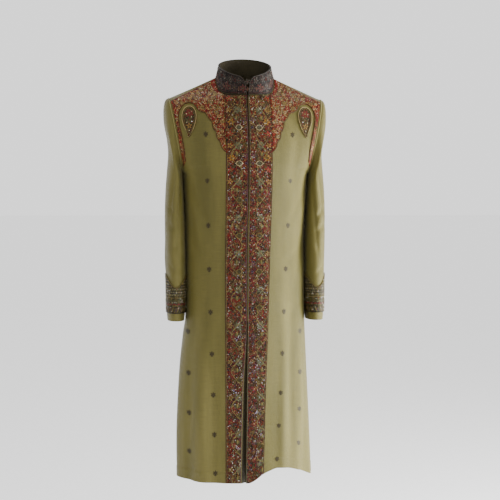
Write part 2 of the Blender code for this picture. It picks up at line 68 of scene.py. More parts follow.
# Neck opening and stand collar
NECK_HALF_WIDTH = 0.080
NECK_FRONT_DEPTH = 0.077
NECK_BACK_DEPTH = 0.062
NECK_SCOOP = 2.2
COLLAR_LEAN = 0.90
COLLAR_TOP_FRONT = -0.004
COLLAR_TOP_BACK = 0.060
COLLAR_RISE = 0.75
COLLAR_FROM_CENTRE = 0.0012
COLLAR_OPENING = 0.007
COLLAR_CORNER = 0.016
COLLAR_CORNER_START = 0.60

# Armhole, a flat oval from the underarm to the shoulder tip
CHEST_HALF_WIDTH = 0.172
SHOULDER_TIP_X = 0.210
SHOULDER_TIP_Z = -0.057
ARMHOLE_FRONT = 0.066
ARMHOLE_BACK = 0.062
ARMHOLE_SQUARENESS = 2.2
SLEEVE_SQUARENESS = 2.3

# The body's sections are squarish ovals; the upper chest flattens towards the shoulder
ROUNDNESS = 2.3
CHEST_FLATNESS = 1.15
CHEST_FLAT_AT = 0.5
CENTRE_SHARE = 0.6


def table(columns, *rows):
    """Named columns of numbers, with a row for each section or fold."""
    return dict(zip(columns.split(), np.array(rows, float).T))


# Half widths and depths of the body's sections, from the hem to the underarm
BODY = table(
    "height right left front back",
    (HEM, 0.188, 0.186, 0.136, 0.134),
    (-0.95, 0.189, 0.180, 0.132, 0.131),
    (-0.80, 0.182, 0.172, 0.126, 0.124),
    (-0.70, 0.1715, 0.167, 0.121, 0.118),
    (-0.66, 0.1655, 0.1655, 0.119, 0.114),
    (-0.60, 0.165, 0.165, 0.116, 0.108),
    (-0.47, 0.165, 0.165, 0.112, 0.095),
    (-0.36, 0.168, 0.168, 0.118, 0.101),
    (UNDERARM, CHEST_HALF_WIDTH, CHEST_HALF_WIDTH, 0.122, 0.108),
)
# Depths of the centre lines above the underarm
CENTRE_FRONT = table(
    "height depth",
    (UNDERARM, 0.122),
    (-0.20, 0.120),
    (-0.15, 0.114),
    (-0.10, 0.099),
    (NECK_FRONT, NECK_FRONT_DEPTH),
)
CENTRE_BACK = table(
    "height depth",
    (UNDERARM, 0.108),
    (-0.19, 0.111),
    (-0.12, 0.107),
    (-0.06, 0.096),
    (-0.02, 0.081),
    (NECK_BACK, NECK_BACK_DEPTH),
)
# Folds of the skirt, by degrees round from the centre front, with their spread to each
# side and where they begin; the positive ones stand out
SKIRT_FOLDS = table(
    "around depth spread top",
    (-80, 0.0050, 14, -0.66),
    (-58, -0.0030, 11, -0.74),
    (-36, 0.0020, 10, -0.82),
    (34, 0.0020, 9, -0.80),
    (50, -0.0045, 9, -0.70),
    (64, 0.0050, 9, -0.68),
    (80, -0.0030, 9, -0.72),
    (104, 0.0050, 12, -0.66),
    (126, -0.0050, 11, -0.60),
    (146, 0.0050, 12, -0.64),
    (168, -0.0040, 11, -0.58),
    (-166, 0.0045, 12, -0.62),
    (-143, -0.0055, 11, -0.60),
    (-122, 0.0050, 12, -0.68),
    (-102, -0.0035, 10, -0.70),
)
# How far the left front's hem is lifted
HEM_LIFT = table(
    "x lift",
    (0.000, 0.000),
    (0.015, 0.008),
    (0.035, 0.023),
    (0.060, 0.034),
    (0.075, 0.038),
    (0.115, 0.033),
    (0.150, 0.018),
    (0.186, 0.000),
)
HEM_LIFT_TOP = -0.80
# The opening: x of the upper front's edge, of the lower band's end and of the underlap's
# edge (under, to the left), and how far the underlap lies behind
LAP = table(
    "height edge band_end under set_back",
    (HEM, -0.0110, -0.0245, 0.016, 0.0100),
    (-0.95, -0.0090, -0.0215, 0.019, 0.0080),
    (-0.81, -0.0068, -0.0165, 0.022, 0.0060),
    (-0.70, -0.0050, -0.0080, 0.026, 0.0042),
    (-0.45, -0.0025, -0.0055, 0.030, 0.0038),
    (UNDERARM, 0.0000, -0.0030, 0.030, 0.0038),
    (-0.115, 0.0008, -0.0030, 0.026, 0.0038),
    (-0.085, 0.0010, -0.0030, -0.0009, 0.0038),
    (NECK_FRONT, 0.0010, -0.0030, -0.0009, 0.0),
)
# Outer edges of the two front bands
BANDS = table(
    "height right left",
    (HEM, 0.0650, 0.0370),
    (-0.85, 0.0645, 0.0440),
    (-0.65, 0.0640, 0.0520),
    (-0.35, 0.0625, 0.0610),
    (UNDERARM, 0.0620, 0.0625),
    (NECK_FRONT, 0.0620, 0.0625),
)
# The yoke's scalloped edge, from the band out to the strip at the armhole
YOKE_EDGE = table(
    "along x height",
    (0.00, 0.0635, -0.208),
    (0.22, 0.0790, -0.178),
    (0.45, 0.0905, -0.148),
    (0.68, 0.1030, -0.116),
    (0.84, 0.1190, -0.099),
    (1.00, 0.1370, -0.090),
)
SCALLOPS = 5
SCALLOP_DEPTH = 0.0035
SCALLOP_OUT = 0.6
SCALLOP_DOWN = 0.8
# The yoke's outline from there round the strip
YOKE_STRIP = table(
    "x height",
    (0.1405, -0.0830),
    (0.1480, -0.0765),
    (0.1570, -0.0745),
    (0.1660, -0.0765),
    (0.1750, -0.0840),
    (0.1820, -0.0960),
    (0.1850, -0.1120),
    (0.1820, -0.1350),
    (0.1755, -0.1650),
    (0.1690, -0.2010),
    (0.1660, -0.2300),
)
YOKE_END = -0.244
YOKE_TO_BAND = 0.0007
YOKE_FROM_ARMHOLE = 0.004
YOKE_FROM_TIP = 1.5 * YOKE_FROM_ARMHOLE
YOKE_NECK_START = 86
YOKE_FROM_RIDGE_AT_NECK = 0.0015
YOKE_FROM_RIDGE_AT_TIP = 0.010
# The paisley's two sides, from its top down to its tip
PAISLEY = table(
    "height middle half_width",
    (-0.0830, 0.1560, 0.0050),
    (-0.0880, 0.1565, 0.0125),
    (-0.0960, 0.1568, 0.0175),
    (-0.1080, 0.1570, 0.0200),
    (-0.1220, 0.1572, 0.0190),
    (-0.1360, 0.1572, 0.0150),
    (-0.1490, 0.1568, 0.0095),
    (-0.1590, 0.1572, 0.0050),
    (-0.1670, 0.1590, 0.0018),
)
# Sections of a sleeve, from the armhole to the wrist
SLEEVE = table(
    "count outer_x outer_z inner_x inner_z front back middle",
    (0, SHOULDER_TIP_X, SHOULDER_TIP_Z, CHEST_HALF_WIDTH, UNDERARM, ARMHOLE_FRONT, ARMHOLE_BACK, 0.000),
    (1, 0.2165, -0.0600, 0.1736, -0.267, 0.0665, 0.0630, 0.000),
    (2, 0.2215, -0.0700, 0.1738, -0.275, 0.0670, 0.0640, 0.000),
    (3, 0.2240, -0.0920, 0.1734, -0.285, 0.0670, 0.0650, 0.000),
    (4, 0.2225, -0.1250, 0.1730, -0.297, 0.0670, 0.0650, 0.000),
    (5, 0.2150, -0.1650, 0.1724, -0.310, 0.0670, 0.0650, 0.000),
    (6, 0.2115, -0.2050, 0.1716, -0.325, 0.0670, 0.0650, 0.000),
    (7, 0.2145, -0.2500, 0.1707, -0.344, 0.0665, 0.0650, -0.001),
    (8, 0.2185, -0.3000, 0.1697, -0.368, 0.0660, 0.0645, -0.002),
    (9, 0.2210, -0.3600, 0.1684, -0.404, 0.0655, 0.0640, -0.003),
    (10, 0.2210, -0.4250, 0.1674, -0.447, 0.0645, 0.0630, -0.005),
    (11, 0.2195, -0.4900, 0.1668, -0.496, 0.0630, 0.0615, -0.007),
    (12, 0.2180, -0.5400, 0.1667, -0.541, 0.0610, 0.0595, -0.009),
    (13, 0.2175, -0.5880, 0.1671, -0.588, 0.0590, 0.0575, -0.010),
    (14, 0.2170, -0.6310, 0.1682, -0.631, 0.0570, 0.0560, -0.011),
    (15, 0.2145, -0.6630, 0.1694, -0.663, 0.0545, 0.0535, -0.011),
)
SLEEVE_SECTIONS = 15

CREASE_COLUMNS = "top_across top_height foot_across foot_height bow width depth"

# Soft creases, listed one by one: each runs from its top to its foot, bows sideways, and
# stands out (+) or sinks in (-) by depth. Across is x on the fronts and backs.
FRONT_RIGHT_CREASES = table(
    CREASE_COLUMNS,
    (-0.120, -0.60, -0.132, -1.30, 0.004, 0.017, 0.0051),
    (-0.090, -0.52, -0.092, -1.28, -0.003, 0.016, -0.0049),
    (-0.152, -0.66, -0.160, -1.25, 0.003, 0.012, -0.0038),
    (-0.167, -0.27, -0.095, -0.43, 0.008, 0.010, -0.0038),
    (-0.170, -0.30, -0.112, -0.56, 0.010, 0.012, -0.0035),
    (-0.140, -0.15, -0.128, -0.35, -0.006, 0.014, -0.0026),
    (-0.160, -0.45, -0.080, -0.50, 0.006, 0.012, -0.0026),
    (-0.164, -0.53, -0.110, -0.60, -0.004, 0.013, 0.0023),
)
FRONT_LEFT_CREASES = table(
    CREASE_COLUMNS,
    (0.098, -0.58, 0.082, -1.28, -0.004, 0.014, 0.0043),
    (0.120, -0.50, 0.112, -1.30, 0.003, 0.013, -0.0052),
    (0.143, -0.62, 0.146, -1.26, 0.004, 0.012, 0.0049),
    (0.168, -0.27, 0.100, -0.41, -0.009, 0.011, -0.0035),
    (0.170, -0.31, 0.122, -0.60, -0.008, 0.012, -0.0038),
    (0.142, -0.14, 0.120, -0.33, 0.006, 0.015, -0.0026),
    (0.160, -0.44, 0.082, -0.52, -0.006, 0.012, -0.0029),
    (0.155, -0.60, 0.098, -0.68, 0.005, 0.013, -0.0022),
)
BACK_CREASES = table(
    CREASE_COLUMNS,
    (0.045, -0.46, 0.052, -1.30, 0.004, 0.018, -0.0050),
    (0.082, -0.55, 0.094, -1.26, -0.004, 0.016, 0.0050),
    (0.128, -0.50, 0.136, -1.30, 0.005, 0.015, -0.0042),
    (-0.050, -0.50, -0.060, -1.28, -0.005, 0.017, -0.0052),
    (-0.096, -0.58, -0.104, -1.30, 0.004, 0.015, 0.0045),
    (-0.136, -0.47, -0.140, -1.22, -0.003, 0.016, -0.0037),
    (0.150, -0.12, 0.118, -0.34, 0.010, 0.015, -0.0037),
    (-0.152, -0.11, -0.125, -0.38, -0.012, 0.016, -0.0040),
    (0.030, -0.395, 0.135, -0.44, 0.008, 0.012, -0.0028),
    (-0.025, -0.42, -0.140, -0.45, -0.006, 0.013, -0.0032),
    (0.060, -0.10, 0.040, -0.30, 0.006, 0.020, 0.0025),
    (-0.070, -0.09, -0.045, -0.27, -0.006, 0.020, 0.0022),
)
# Across runs round a sleeve in metres, 0 at its outer side and growing towards its front
SLEEVE_CREASES = table(
    CREASE_COLUMNS,
    (0.085, -0.200, 0.040, -0.420, 0.006, 0.010, -0.0042),
    (0.100, -0.260, 0.060, -0.520, -0.005, 0.009, -0.0036),
    (0.055, -0.150, 0.070, -0.330, -0.006, 0.012, 0.0036),
    (0.090, -0.395, 0.018, -0.350, 0.006, 0.008, -0.0042),
    (0.088, -0.430, 0.010, -0.398, 0.007, 0.008, -0.0048),
    (0.095, -0.452, 0.035, -0.470, -0.004, 0.008, -0.0033),
    (-0.020, -0.200, -0.045, -0.420, 0.005, 0.012, -0.0039),
    (-0.075, -0.160, -0.060, -0.460, -0.008, 0.012, -0.0045),
    (-0.085, -0.380, -0.020, -0.430, 0.005, 0.009, -0.0039),
    (-0.080, -0.470, -0.030, -0.500, -0.004, 0.009, -0.0030),
    (0.030, -0.500, 0.085, -0.540, 0.004, 0.007, -0.0027),
    (0.000, -0.440, 0.004, -0.560, 0.003, 0.010, 0.0024),
)
SLEEVE_GIRTH_RADIUS = 0.045

# A sleeve's inner side lies close to the body: how far it moves at most, the gap that
# stays, and how far round in degrees
SNUG = 0.0030
SNUG_GAP = 0.0005
SNUG_SPREAD = 34

# How finely the shells are divided, and how often a search halves its span
HALVINGS = 26
HEM_ROWS = 14
SKIRT_ROWS = 96
CHEST_ROWS = 36
NECK_ROWS = 22
PANEL_COLUMNS = 66
COLUMN_CROWDING = 1.15
UNDERLAP_COLUMNS = 14
HIDDEN_COLUMNS = 5
SLEEVE_COLUMNS = 80
SLEEVE_ROWS = 130
COLLAR_COLUMNS = 150
COLLAR_ROWS = 14
COLLAR_ROW_CROWDING = 1.5
CUFF_COLUMNS = 96
CUFF_ROWS = 16


def blend(low, high, share):
    return low + (high - low) * share


def ramp(low, high, value):
    """A soft step from 0 at low to 1 at high."""
    share = np.clip((value - low) / (high - low), 0, 1)
    return share * share * (3 - 2 * share)


def read(rows, key, column, value):
    """One column of a table at any values of its key, on a smooth curve through the rows."""
    keys, data = rows[key], rows[column]
    value = np.asarray(value, float)
    slopes = np.empty(len(keys))
    slopes[1:-1] = (data[2:] - data[:-2]) / (keys[2:] - keys[:-2])
    slopes[0] = (data[1] - data[0]) / (keys[1] - keys[0])
    slopes[-1] = (data[-1] - data[-2]) / (keys[-1] - keys[-2])
    spot = np.clip(np.searchsorted(keys, value, side="right") - 1, 0, len(keys) - 2)
    step = keys[spot + 1] - keys[spot]
    t = np.clip((value - keys[spot]) / step, 0, 1)
    start = (2 * t**3 - 3 * t**2 + 1) * data[spot] + (t**3 - 2 * t**2 + t) * step * slopes[spot]
    end = (3 * t**2 - 2 * t**3) * data[spot + 1] + (t**3 - t**2) * step * slopes[spot + 1]
    return start + end


def vectors(x, y, z):
    return np.stack(np.broadcast_arrays(x, y, z), axis=-1).astype(float)


def pairs(x, z):
    """Flat points from their two coordinates."""
    return np.stack(np.broadcast_arrays(x, z), axis=-1)


def unit(v):
    return v / np.maximum(np.linalg.norm(v, axis=-1, keepdims=True), 1e-12)


def oval(degrees, squareness):
    """Cosine and sine of an angle, pressed towards a square."""
    cosine, sine = np.cos(np.radians(degrees)), np.sin(np.radians(degrees))
    power = 2 / squareness
    return np.sign(cosine) * np.abs(cosine) ** power, np.sign(sine) * np.abs(sine) ** power


def neck(degrees):
    """The neckline, by degrees round from the centre front."""
    sine, cosine = np.sin(np.radians(degrees)), np.cos(np.radians(degrees))
    depth = np.where(cosine > 0, NECK_FRONT_DEPTH, NECK_BACK_DEPTH)
    scoop = NECK_FRONT * (1 - np.clip(1 - cosine, 0, 2) ** NECK_SCOOP)
    return vectors(NECK_HALF_WIDTH * sine, -depth * cosine, np.where(cosine > 0, scoop, -NECK_BACK * cosine))


def inner_edge(face, up):
    """The centre line up to the neck, then the neckline out to the side neck point."""
    quarter = 90 * np.clip(up - CENTRE_SHARE, 0, 1) / (1 - CENTRE_SHARE)
    collar_line = neck(quarter if face < 0 else 180 - quarter)
    top, line = (NECK_FRONT, CENTRE_FRONT) if face < 0 else (NECK_BACK, CENTRE_BACK)
    height = blend(UNDERARM, top, np.clip(up / CENTRE_SHARE, 0, 1))
    centre_line = vectors(0, face * read(line, "height", "depth", height), height)
    return np.where((up > CENTRE_SHARE)[..., None], collar_line, centre_line)


def armhole(face, up):
    """The armhole seam from the underarm, at 0, to the shoulder tip, at 1."""
    along, across = oval(180 * (1 - up), ARMHOLE_SQUARENESS)
    share = (1 + along) / 2
    depth = ARMHOLE_FRONT if face < 0 else ARMHOLE_BACK
    x = blend(CHEST_HALF_WIDTH, SHOULDER_TIP_X, share)
    return vectors(x, face * depth * across, blend(UNDERARM, SHOULDER_TIP_Z, share))


def fold_depth(around, height):
    """How far the skirt's folds push the cloth out."""
    total = 0.0
    for centre, depth, spread, top in zip(*SKIRT_FOLDS.values()):
        turn = np.abs((around - centre + 180) % 360 - 180)
        crest = np.where(turn < spread, np.cos(math.pi / 2 * turn / spread) ** 2, 0)
        total = total + depth * crest * ramp(top, HEM, height)
    return total


def half_width(side, height):
    """How far the body reaches sideways, on the coat's right (-1) or left (1) side."""
    return read(BODY, "height", "left" if side > 0 else "right", height)


def body(side, face, turn, up):
    """Points of the coat's outside. Turn is 0 degrees at the centre line and 90 at the side;
    up is -1 at the hem, 0 at the underarm and 1 at the shoulder seam."""
    turn, up = np.broadcast_arrays(np.asarray(turn, float), np.asarray(up, float))
    reach = np.abs(np.sin(np.radians(turn))) ** (2 / ROUNDNESS)
    cosine = np.clip(np.cos(np.radians(turn)), 0, 1)
    sign = side * np.where(turn < 0, -1, 1)

    chest = np.clip(up, 0, 1)
    start, end = inner_edge(face, chest), armhole(face, chest)
    curve = blend(ROUNDNESS, CHEST_FLATNESS, ramp(0, CHEST_FLAT_AT, chest))
    y = end[..., 1] + (start[..., 1] - end[..., 1]) * cosine ** (2 / curve)
    x = blend(start[..., 0], end[..., 0], reach)
    upper = vectors(sign * x, y, blend(start[..., 2], end[..., 2], reach))

    height = blend(UNDERARM, HEM, np.clip(-up, 0, 1))
    width = half_width(side, height)
    depth = read(BODY, "height", "front" if face < 0 else "back", height)
    lower = vectors(sign * width * reach, face * depth * cosine ** (2 / ROUNDNESS), height)
    outwards = unit(vectors(lower[..., 0] / width**2, lower[..., 1] / depth**2, 0))
    around = turn if face < 0 else 180 - turn
    lower = lower + outwards * fold_depth(side * around, height)[..., None]
    if face < 0:
        lift = read(HEM_LIFT, "x", "lift", lower[..., 0]) * ramp(HEM_LIFT_TOP, HEM, height)
        lower[..., 2] += np.where(lower[..., 0] > 0, lift, 0)
    return np.where((up > 0)[..., None], upper, lower)


# Steps across which the directions out of the surfaces are measured
UP_STEP = 0.02
TURN_STEP = 1
ANGLE_STEP = 4
ALONG_STEP = 0.2
FIRST_ALONG = 0.001


def body_normal(side, face, turn, up):
    """The outward directions of the coat's surface."""
    turn, up = np.broadcast_arrays(np.asarray(turn, float), np.asarray(up, float))
    low, high = np.clip(up - UP_STEP, -1, 1), np.clip(up + UP_STEP, -1, 1)
    seam_turn = np.minimum(turn, 90)
    along = body(side, face, seam_turn, high) - body(side, face, seam_turn, low)
    before = turn - TURN_STEP
    before = np.where(up > CENTRE_SHARE, np.maximum(before, 0), before)
    sideways = body(side, face, np.minimum(90, turn + TURN_STEP), up) - body(side, face, before, up)
    normal = np.cross(along, sideways)
    ridge = body(side, face, 90, 1.0) - body(side, face, 0, 1.0)
    edge = np.where((up <= 0)[..., None], along, ridge)
    seam_normal = np.cross(edge, np.array((0.0, 1.0, 0.0)))
    at_seam = ((turn >= 90) & (up <= 0)) | (up >= 1)
    normal = unit(np.where(at_seam[..., None], seam_normal, normal))
    outside = np.where(at_seam[..., None], np.array((side, 0, 0.2)), np.array((0.3 * side, face, 0.3)))
    facing = np.sum(normal * outside, axis=-1, keepdims=True)
    return np.where(facing > 0, normal, -normal)


def crease_depth(creases, across, height):
    """How far the listed creases move the cloth out or in."""
    total = np.zeros(np.broadcast(across, height).shape)
    for top_a, top_h, foot_a, foot_h, bow, width, depth in zip(*creases.values()):
        run_a, run_h = foot_a - top_a, foot_h - top_h
        length = math.hypot(run_a, run_h)
        share = ((across - top_a) * run_a + (height - top_h) * run_h) / length**2
        share = np.clip(share, 0, 1)
        aside = ((across - top_a) * run_h - (height - top_h) * run_a) / length
        aside = aside - bow * np.sin(math.pi * share)
        total = total + depth * np.exp(-((aside / width) ** 2)) * np.sin(math.pi * share) ** 1.3
    return total


def panel_creases(side, face):
    if face > 0:
        return BACK_CREASES
    return FRONT_LEFT_CREASES if side > 0 else FRONT_RIGHT_CREASES


# The turned hem, with its row of stitches
HEM_TURN = 0.030
HEM_SWELL = 0.0005
HEM_GROOVE = 0.0007
HEM_GROOVE_WIDTH = 0.0022


def hem_relief(distance):
    """The turned hem stands a little proud, up to its row of stitches."""
    swell = HEM_SWELL * ramp(HEM_TURN, HEM_TURN * 0.85, distance)
    return swell - HEM_GROOVE * np.exp(-(((distance - HEM_TURN) / HEM_GROOVE_WIDTH) ** 2))


def lap(column, height):
    return read(LAP, "height", column, height)


# How far the shelf keeps from the upper front's edge and from the underlap's
SHELF_BEFORE_EDGE = 3 * GAP
SHELF_BEFORE_UNDER = 2 * GAP


def lap_shelf(height):
    """The x at which the lower front has stepped fully behind the upper one."""
    return np.minimum(lap("edge", height) - SHELF_BEFORE_EDGE, lap("under", height) - SHELF_BEFORE_UNDER)


def set_back(side, face, points):
    """How far the lower front's edge lies behind the upper front."""
    if side > 0 or face > 0:
        return 0.0
    x, z = points[..., 0], points[..., 2]
    amount = lap("set_back", z) * ramp(lap("band_end", z), lap_shelf(z), x)
    return np.where((z > NECK_FRONT) | (np.abs(x) > NECK_HALF_WIDTH), 0.0, amount)


# The bend at the underarm is rounded over this length, each way
UNDERARM_EASE = 0.045
CHEST_LENGTH = 0.25


def eased(side, face, turn, up):
    """The body with its bend at the underarm rounded, away from the side seam."""
    points = body(side, face, turn, up)
    distance = np.abs(up) * np.where(up > 0, CHEST_LENGTH, SKIRT_LENGTH)
    share = np.clip(1 - distance / UNDERARM_EASE, 0, 1)
    reach = UNDERARM_EASE * share
    over = np.maximum(0, up * SKIRT_LENGTH + reach) / CHEST_LENGTH
    above = np.where(up > 0, up + reach / CHEST_LENGTH, over)
    above = np.where((up <= 0) & (above <= 0), up + reach / SKIRT_LENGTH, above)
    over = np.minimum(0, up * CHEST_LENGTH - reach) / SKIRT_LENGTH
    below = np.where(up <= 0, up - reach / SKIRT_LENGTH, over)
    below = np.where((up > 0) & (below >= 0), up - reach / CHEST_LENGTH, below)
    middle = (body(side, face, turn, above) + body(side, face, turn, below)) / 2
    return points + (middle - points) * (0.5 * ramp(80, 60, turn))[..., None]


def surface(side, face, turn, up):
    """Points of a panel's outside with all its relief, and the directions out of it."""
    turn, up = np.broadcast_arrays(np.asarray(turn, float), np.asarray(up, float))
    points = eased(side, face, turn, up)
    normals = body_normal(side, face, turn, up)
    away_from_seams = ramp(90, 80, turn) * ramp(1.0, 0.9, up)
    if face > 0:
        away_from_seams = away_from_seams * ramp(0, 8, turn)
    creases = crease_depth(panel_creases(side, face), points[..., 0], points[..., 2])
    relief = creases * away_from_seams
    relief = relief + hem_relief((up + 1) * SKIRT_LENGTH)
    relief = relief - set_back(side, face, points)
    return points + normals * relief[..., None], normals


def turn_at(reach):
    """Degrees round from the centre line, for a share of the way across."""
    share = np.clip(np.abs(reach), 0, 1)
    return np.copysign(np.degrees(np.arcsin(share ** (ROUNDNESS / 2))), reach)


def front_spot(side, x, height):
    """Turn and up of the place on a front that is seen from the front at x and height."""
    x, height = np.broadcast_arrays(np.asarray(x, float), np.asarray(height, float))
    width = half_width(side, np.minimum(height, UNDERARM))
    low, high = np.zeros(x.shape), np.ones(x.shape)
    for _ in range(HALVINGS):
        middle = (low + high) / 2
        start, end = inner_edge(-1, middle), armhole(-1, middle)
        reach = (x - start[..., 0]) / (end[..., 0] - start[..., 0])
        below = start[..., 2] + (end[..., 2] - start[..., 2]) * reach < height
        low, high = np.where(below, middle, low), np.where(below, high, middle)
    start, end = inner_edge(-1, low), armhole(-1, low)
    reach = (x - start[..., 0]) / (end[..., 0] - start[..., 0])
    reach = np.where(low > CENTRE_SHARE, np.clip(reach, 0, 1), reach)
    in_skirt = height <= UNDERARM
    turn = np.where(in_skirt, turn_at(x / width), turn_at(reach))
    up = np.where(in_skirt, (height - UNDERARM) / SKIRT_LENGTH, low)
    return turn, up


def lay_on_front(side):
    """Lays flat points, as x outwards and height, on a front, at a distance above it."""
    def lay(x, height, above):
        points, normals = surface(side, -1, *front_spot(side, x, height))
        return points + normals * np.asarray(above)[..., None]
    return lay


def sleeve(side, angle, along):
    """Points of a sleeve's outside. Angle is 0 at its outer side and 90 degrees at its front;
    along counts the sections from the armhole."""
    angle, along = np.broadcast_arrays(np.asarray(angle, float), np.asarray(along, float))
    value = {name: read(SLEEVE, "count", name, along) for name in SLEEVE}
    squareness = blend(ARMHOLE_SQUARENESS, SLEEVE_SQUARENESS, np.clip(along, 0, 1))
    length, depth = oval(angle, squareness)
    x = (value["outer_x"] + value["inner_x"]) / 2 + (value["outer_x"] - value["inner_x"]) / 2 * length
    z = (value["outer_z"] + value["inner_z"]) / 2 + (value["outer_z"] - value["inner_z"]) / 2 * length
    y = value["middle"] - depth * np.where(depth > 0, value["front"], value["back"])
    seam = np.array((SHOULDER_TIP_X - CHEST_HALF_WIDTH, 0, SHOULDER_TIP_Z - UNDERARM))
    seam = seam / np.linalg.norm(seam)
    at_armhole = np.where(along <= 0, GAP, 0)
    return vectors(side * (x + seam[2] * at_armhole), y, z - seam[0] * at_armhole)


def sleeve_normal(side, angle, along):
    """The outward directions of a sleeve's surface."""
    angle, along = np.broadcast_arrays(np.asarray(angle, float), np.asarray(along, float))
    ahead = sleeve(side, angle + ANGLE_STEP, along) - sleeve(side, angle - ANGLE_STEP, along)
    low = np.maximum(FIRST_ALONG, along - ALONG_STEP)
    high = np.minimum(SLEEVE_SECTIONS, along + ALONG_STEP)
    normal = unit(np.cross(ahead, sleeve(side, angle, high) - sleeve(side, angle, low)))
    middle = (sleeve(side, 0, along) + sleeve(side, 180, along)) / 2
    facing = np.sum(normal * (sleeve(side, angle, along) - middle), axis=-1, keepdims=True)
    return np.where(facing > 0, normal, -normal)


def sleeve_surface(side, angle, along):
    """Points of a sleeve with its creases, and the directions out of it."""
    points, normals = sleeve(side, angle, along), sleeve_normal(side, angle, along)
    across = np.radians((angle + 180) % 360 - 180) * SLEEVE_GIRTH_RADIUS
    creases = crease_depth(SLEEVE_CREASES, across, points[..., 2])
    relief = creases * ramp(0, 2.5, along) * ramp(SLEEVE_SECTIONS, SLEEVE_SECTIONS - 3, along)
    relief = relief + hem_relief((points[..., 2] - SLEEVE["outer_z"][-1]) * 1.6)
    inner_side = np.exp(-(((angle + 720) % 360 - 180) / SNUG_SPREAD) ** 2)
    room = np.abs(points[..., 0]) - half_width(side, np.minimum(points[..., 2], UNDERARM))
    snug = np.clip(room - SNUG_GAP, 0, SNUG) * inner_side * ramp(0.3, 1.0, along)
    relief = relief + snug * ramp(SLEEVE_SECTIONS, SLEEVE_SECTIONS - 1, along)
    return points + normals * relief[..., None], normals


def sleeve_along(side, angle, height):
    """Count of sections down a sleeve at which its lines reach a height."""
    angle, height = np.broadcast_arrays(np.asarray(angle, float), np.asarray(height, float))
    low, high = np.zeros(angle.shape), np.full(angle.shape, float(SLEEVE_SECTIONS))
    for _ in range(HALVINGS):
        middle = (low + high) / 2
        above = sleeve(side, angle, middle)[..., 2] > height
        low, high = np.where(above, middle, low), np.where(above, high, middle)
    return low


def lay_on_sleeve(side):
    """Lays points, as metres round from the outer side and height, on a sleeve."""
    def lay(across, height, above):
        angle = np.degrees(across / SLEEVE_GIRTH_RADIUS)
        along = sleeve_along(side, angle, height)
        points, normals = sleeve_surface(side, angle, along)
        return points + normals * np.asarray(above)[..., None]
    return lay


def collar_point(angle, rise, above):
    """Points of the collar by degrees round and share of its height, and above its outside."""
    angle, rise = np.broadcast_arrays(np.asarray(angle, float), np.asarray(rise, float))
    line = neck(angle)
    share = (1 - np.cos(np.radians(angle))) / 2
    top = vectors(
        line[..., 0] * COLLAR_LEAN,
        line[..., 1] * COLLAR_LEAN,
        blend(COLLAR_TOP_FRONT, COLLAR_TOP_BACK, share**COLLAR_RISE),
    )
    foot = line + np.array((0, 0, GAP))
    outwards = vectors(np.sin(np.radians(angle)), -np.cos(np.radians(angle)), 0)
    return foot + (top - foot) * rise[..., None] + outwards * np.asarray(above)[..., None]


def collar_start(rise):
    """Degrees from the centre front at which a leaf's front edge lies."""
    corner = np.clip((rise - COLLAR_CORNER_START) / (1 - COLLAR_CORNER_START), 0, 1)
    away = COLLAR_FROM_CENTRE + COLLAR_OPENING * rise + COLLAR_CORNER * (1 - np.sqrt(1 - corner**2))
    return np.degrees(np.arcsin(away / NECK_HALF_WIDTH))


# The collar laid flat: the radius that turns degrees into metres, its height, and how far
# its foot reaches down inside the neckline, as a share of the height
COLLAR_GIRTH_RADIUS = 0.0745
COLLAR_HEIGHT = 0.046
COLLAR_FOOT = -0.05


def lay_on_collar(across, height, above):
    """Lays points, as metres round from the centre front and metres up, on the collar."""
    return collar_point(np.degrees(across / COLLAR_GIRTH_RADIUS), height / COLLAR_HEIGHT, above)


def linear(red, green, blue):
    """A colour from its 0 to 255 screen values to linear ones."""
    share = np.array((red, green, blue)) / 255
    low, high = share / 12.92, ((share + 0.055) / 1.055) ** 2.4
    return tuple(float(v) for v in np.where(share <= 0.04045, low, high))


# Colours of the cloths and threads
RUST = linear(78, 20, 8)
RED = linear(92, 11, 5)
BRIGHT_RED = linear(116, 16, 6)
DARK_BROWN = linear(22, 13, 8)
BROWN = linear(54, 30, 15)
GOLD_THREAD = linear(108, 80, 30)
KHAKI_GOLD = linear(94, 80, 38)
PALE_GOLD = linear(146, 126, 80)
AMBER = linear(112, 76, 12)
OLIVE = linear(52, 47, 17)
GREY_GREEN = linear(66, 68, 46)
MAUVE = linear(62, 38, 44)
BLUE_GREY = linear(52, 50, 70)
CREAM = linear(150, 135, 102)
BUTTI = linear(40, 31, 11)
# The silk's streaks blend these three colours: partly random tone, partly painted fold shade
SILK_SHADES = (linear(76, 70, 30), linear(89, 82, 39), linear(102, 94, 50))
# The lining is a darker copy of the silk: painted shade for the coat's inside
PAINTED_SHADE_LINING_COLOURS = (linear(34, 29, 16), linear(44, 38, 21), linear(52, 45, 26))
PIPING_SHADES = (linear(108, 100, 56), linear(126, 117, 72), linear(142, 133, 88))


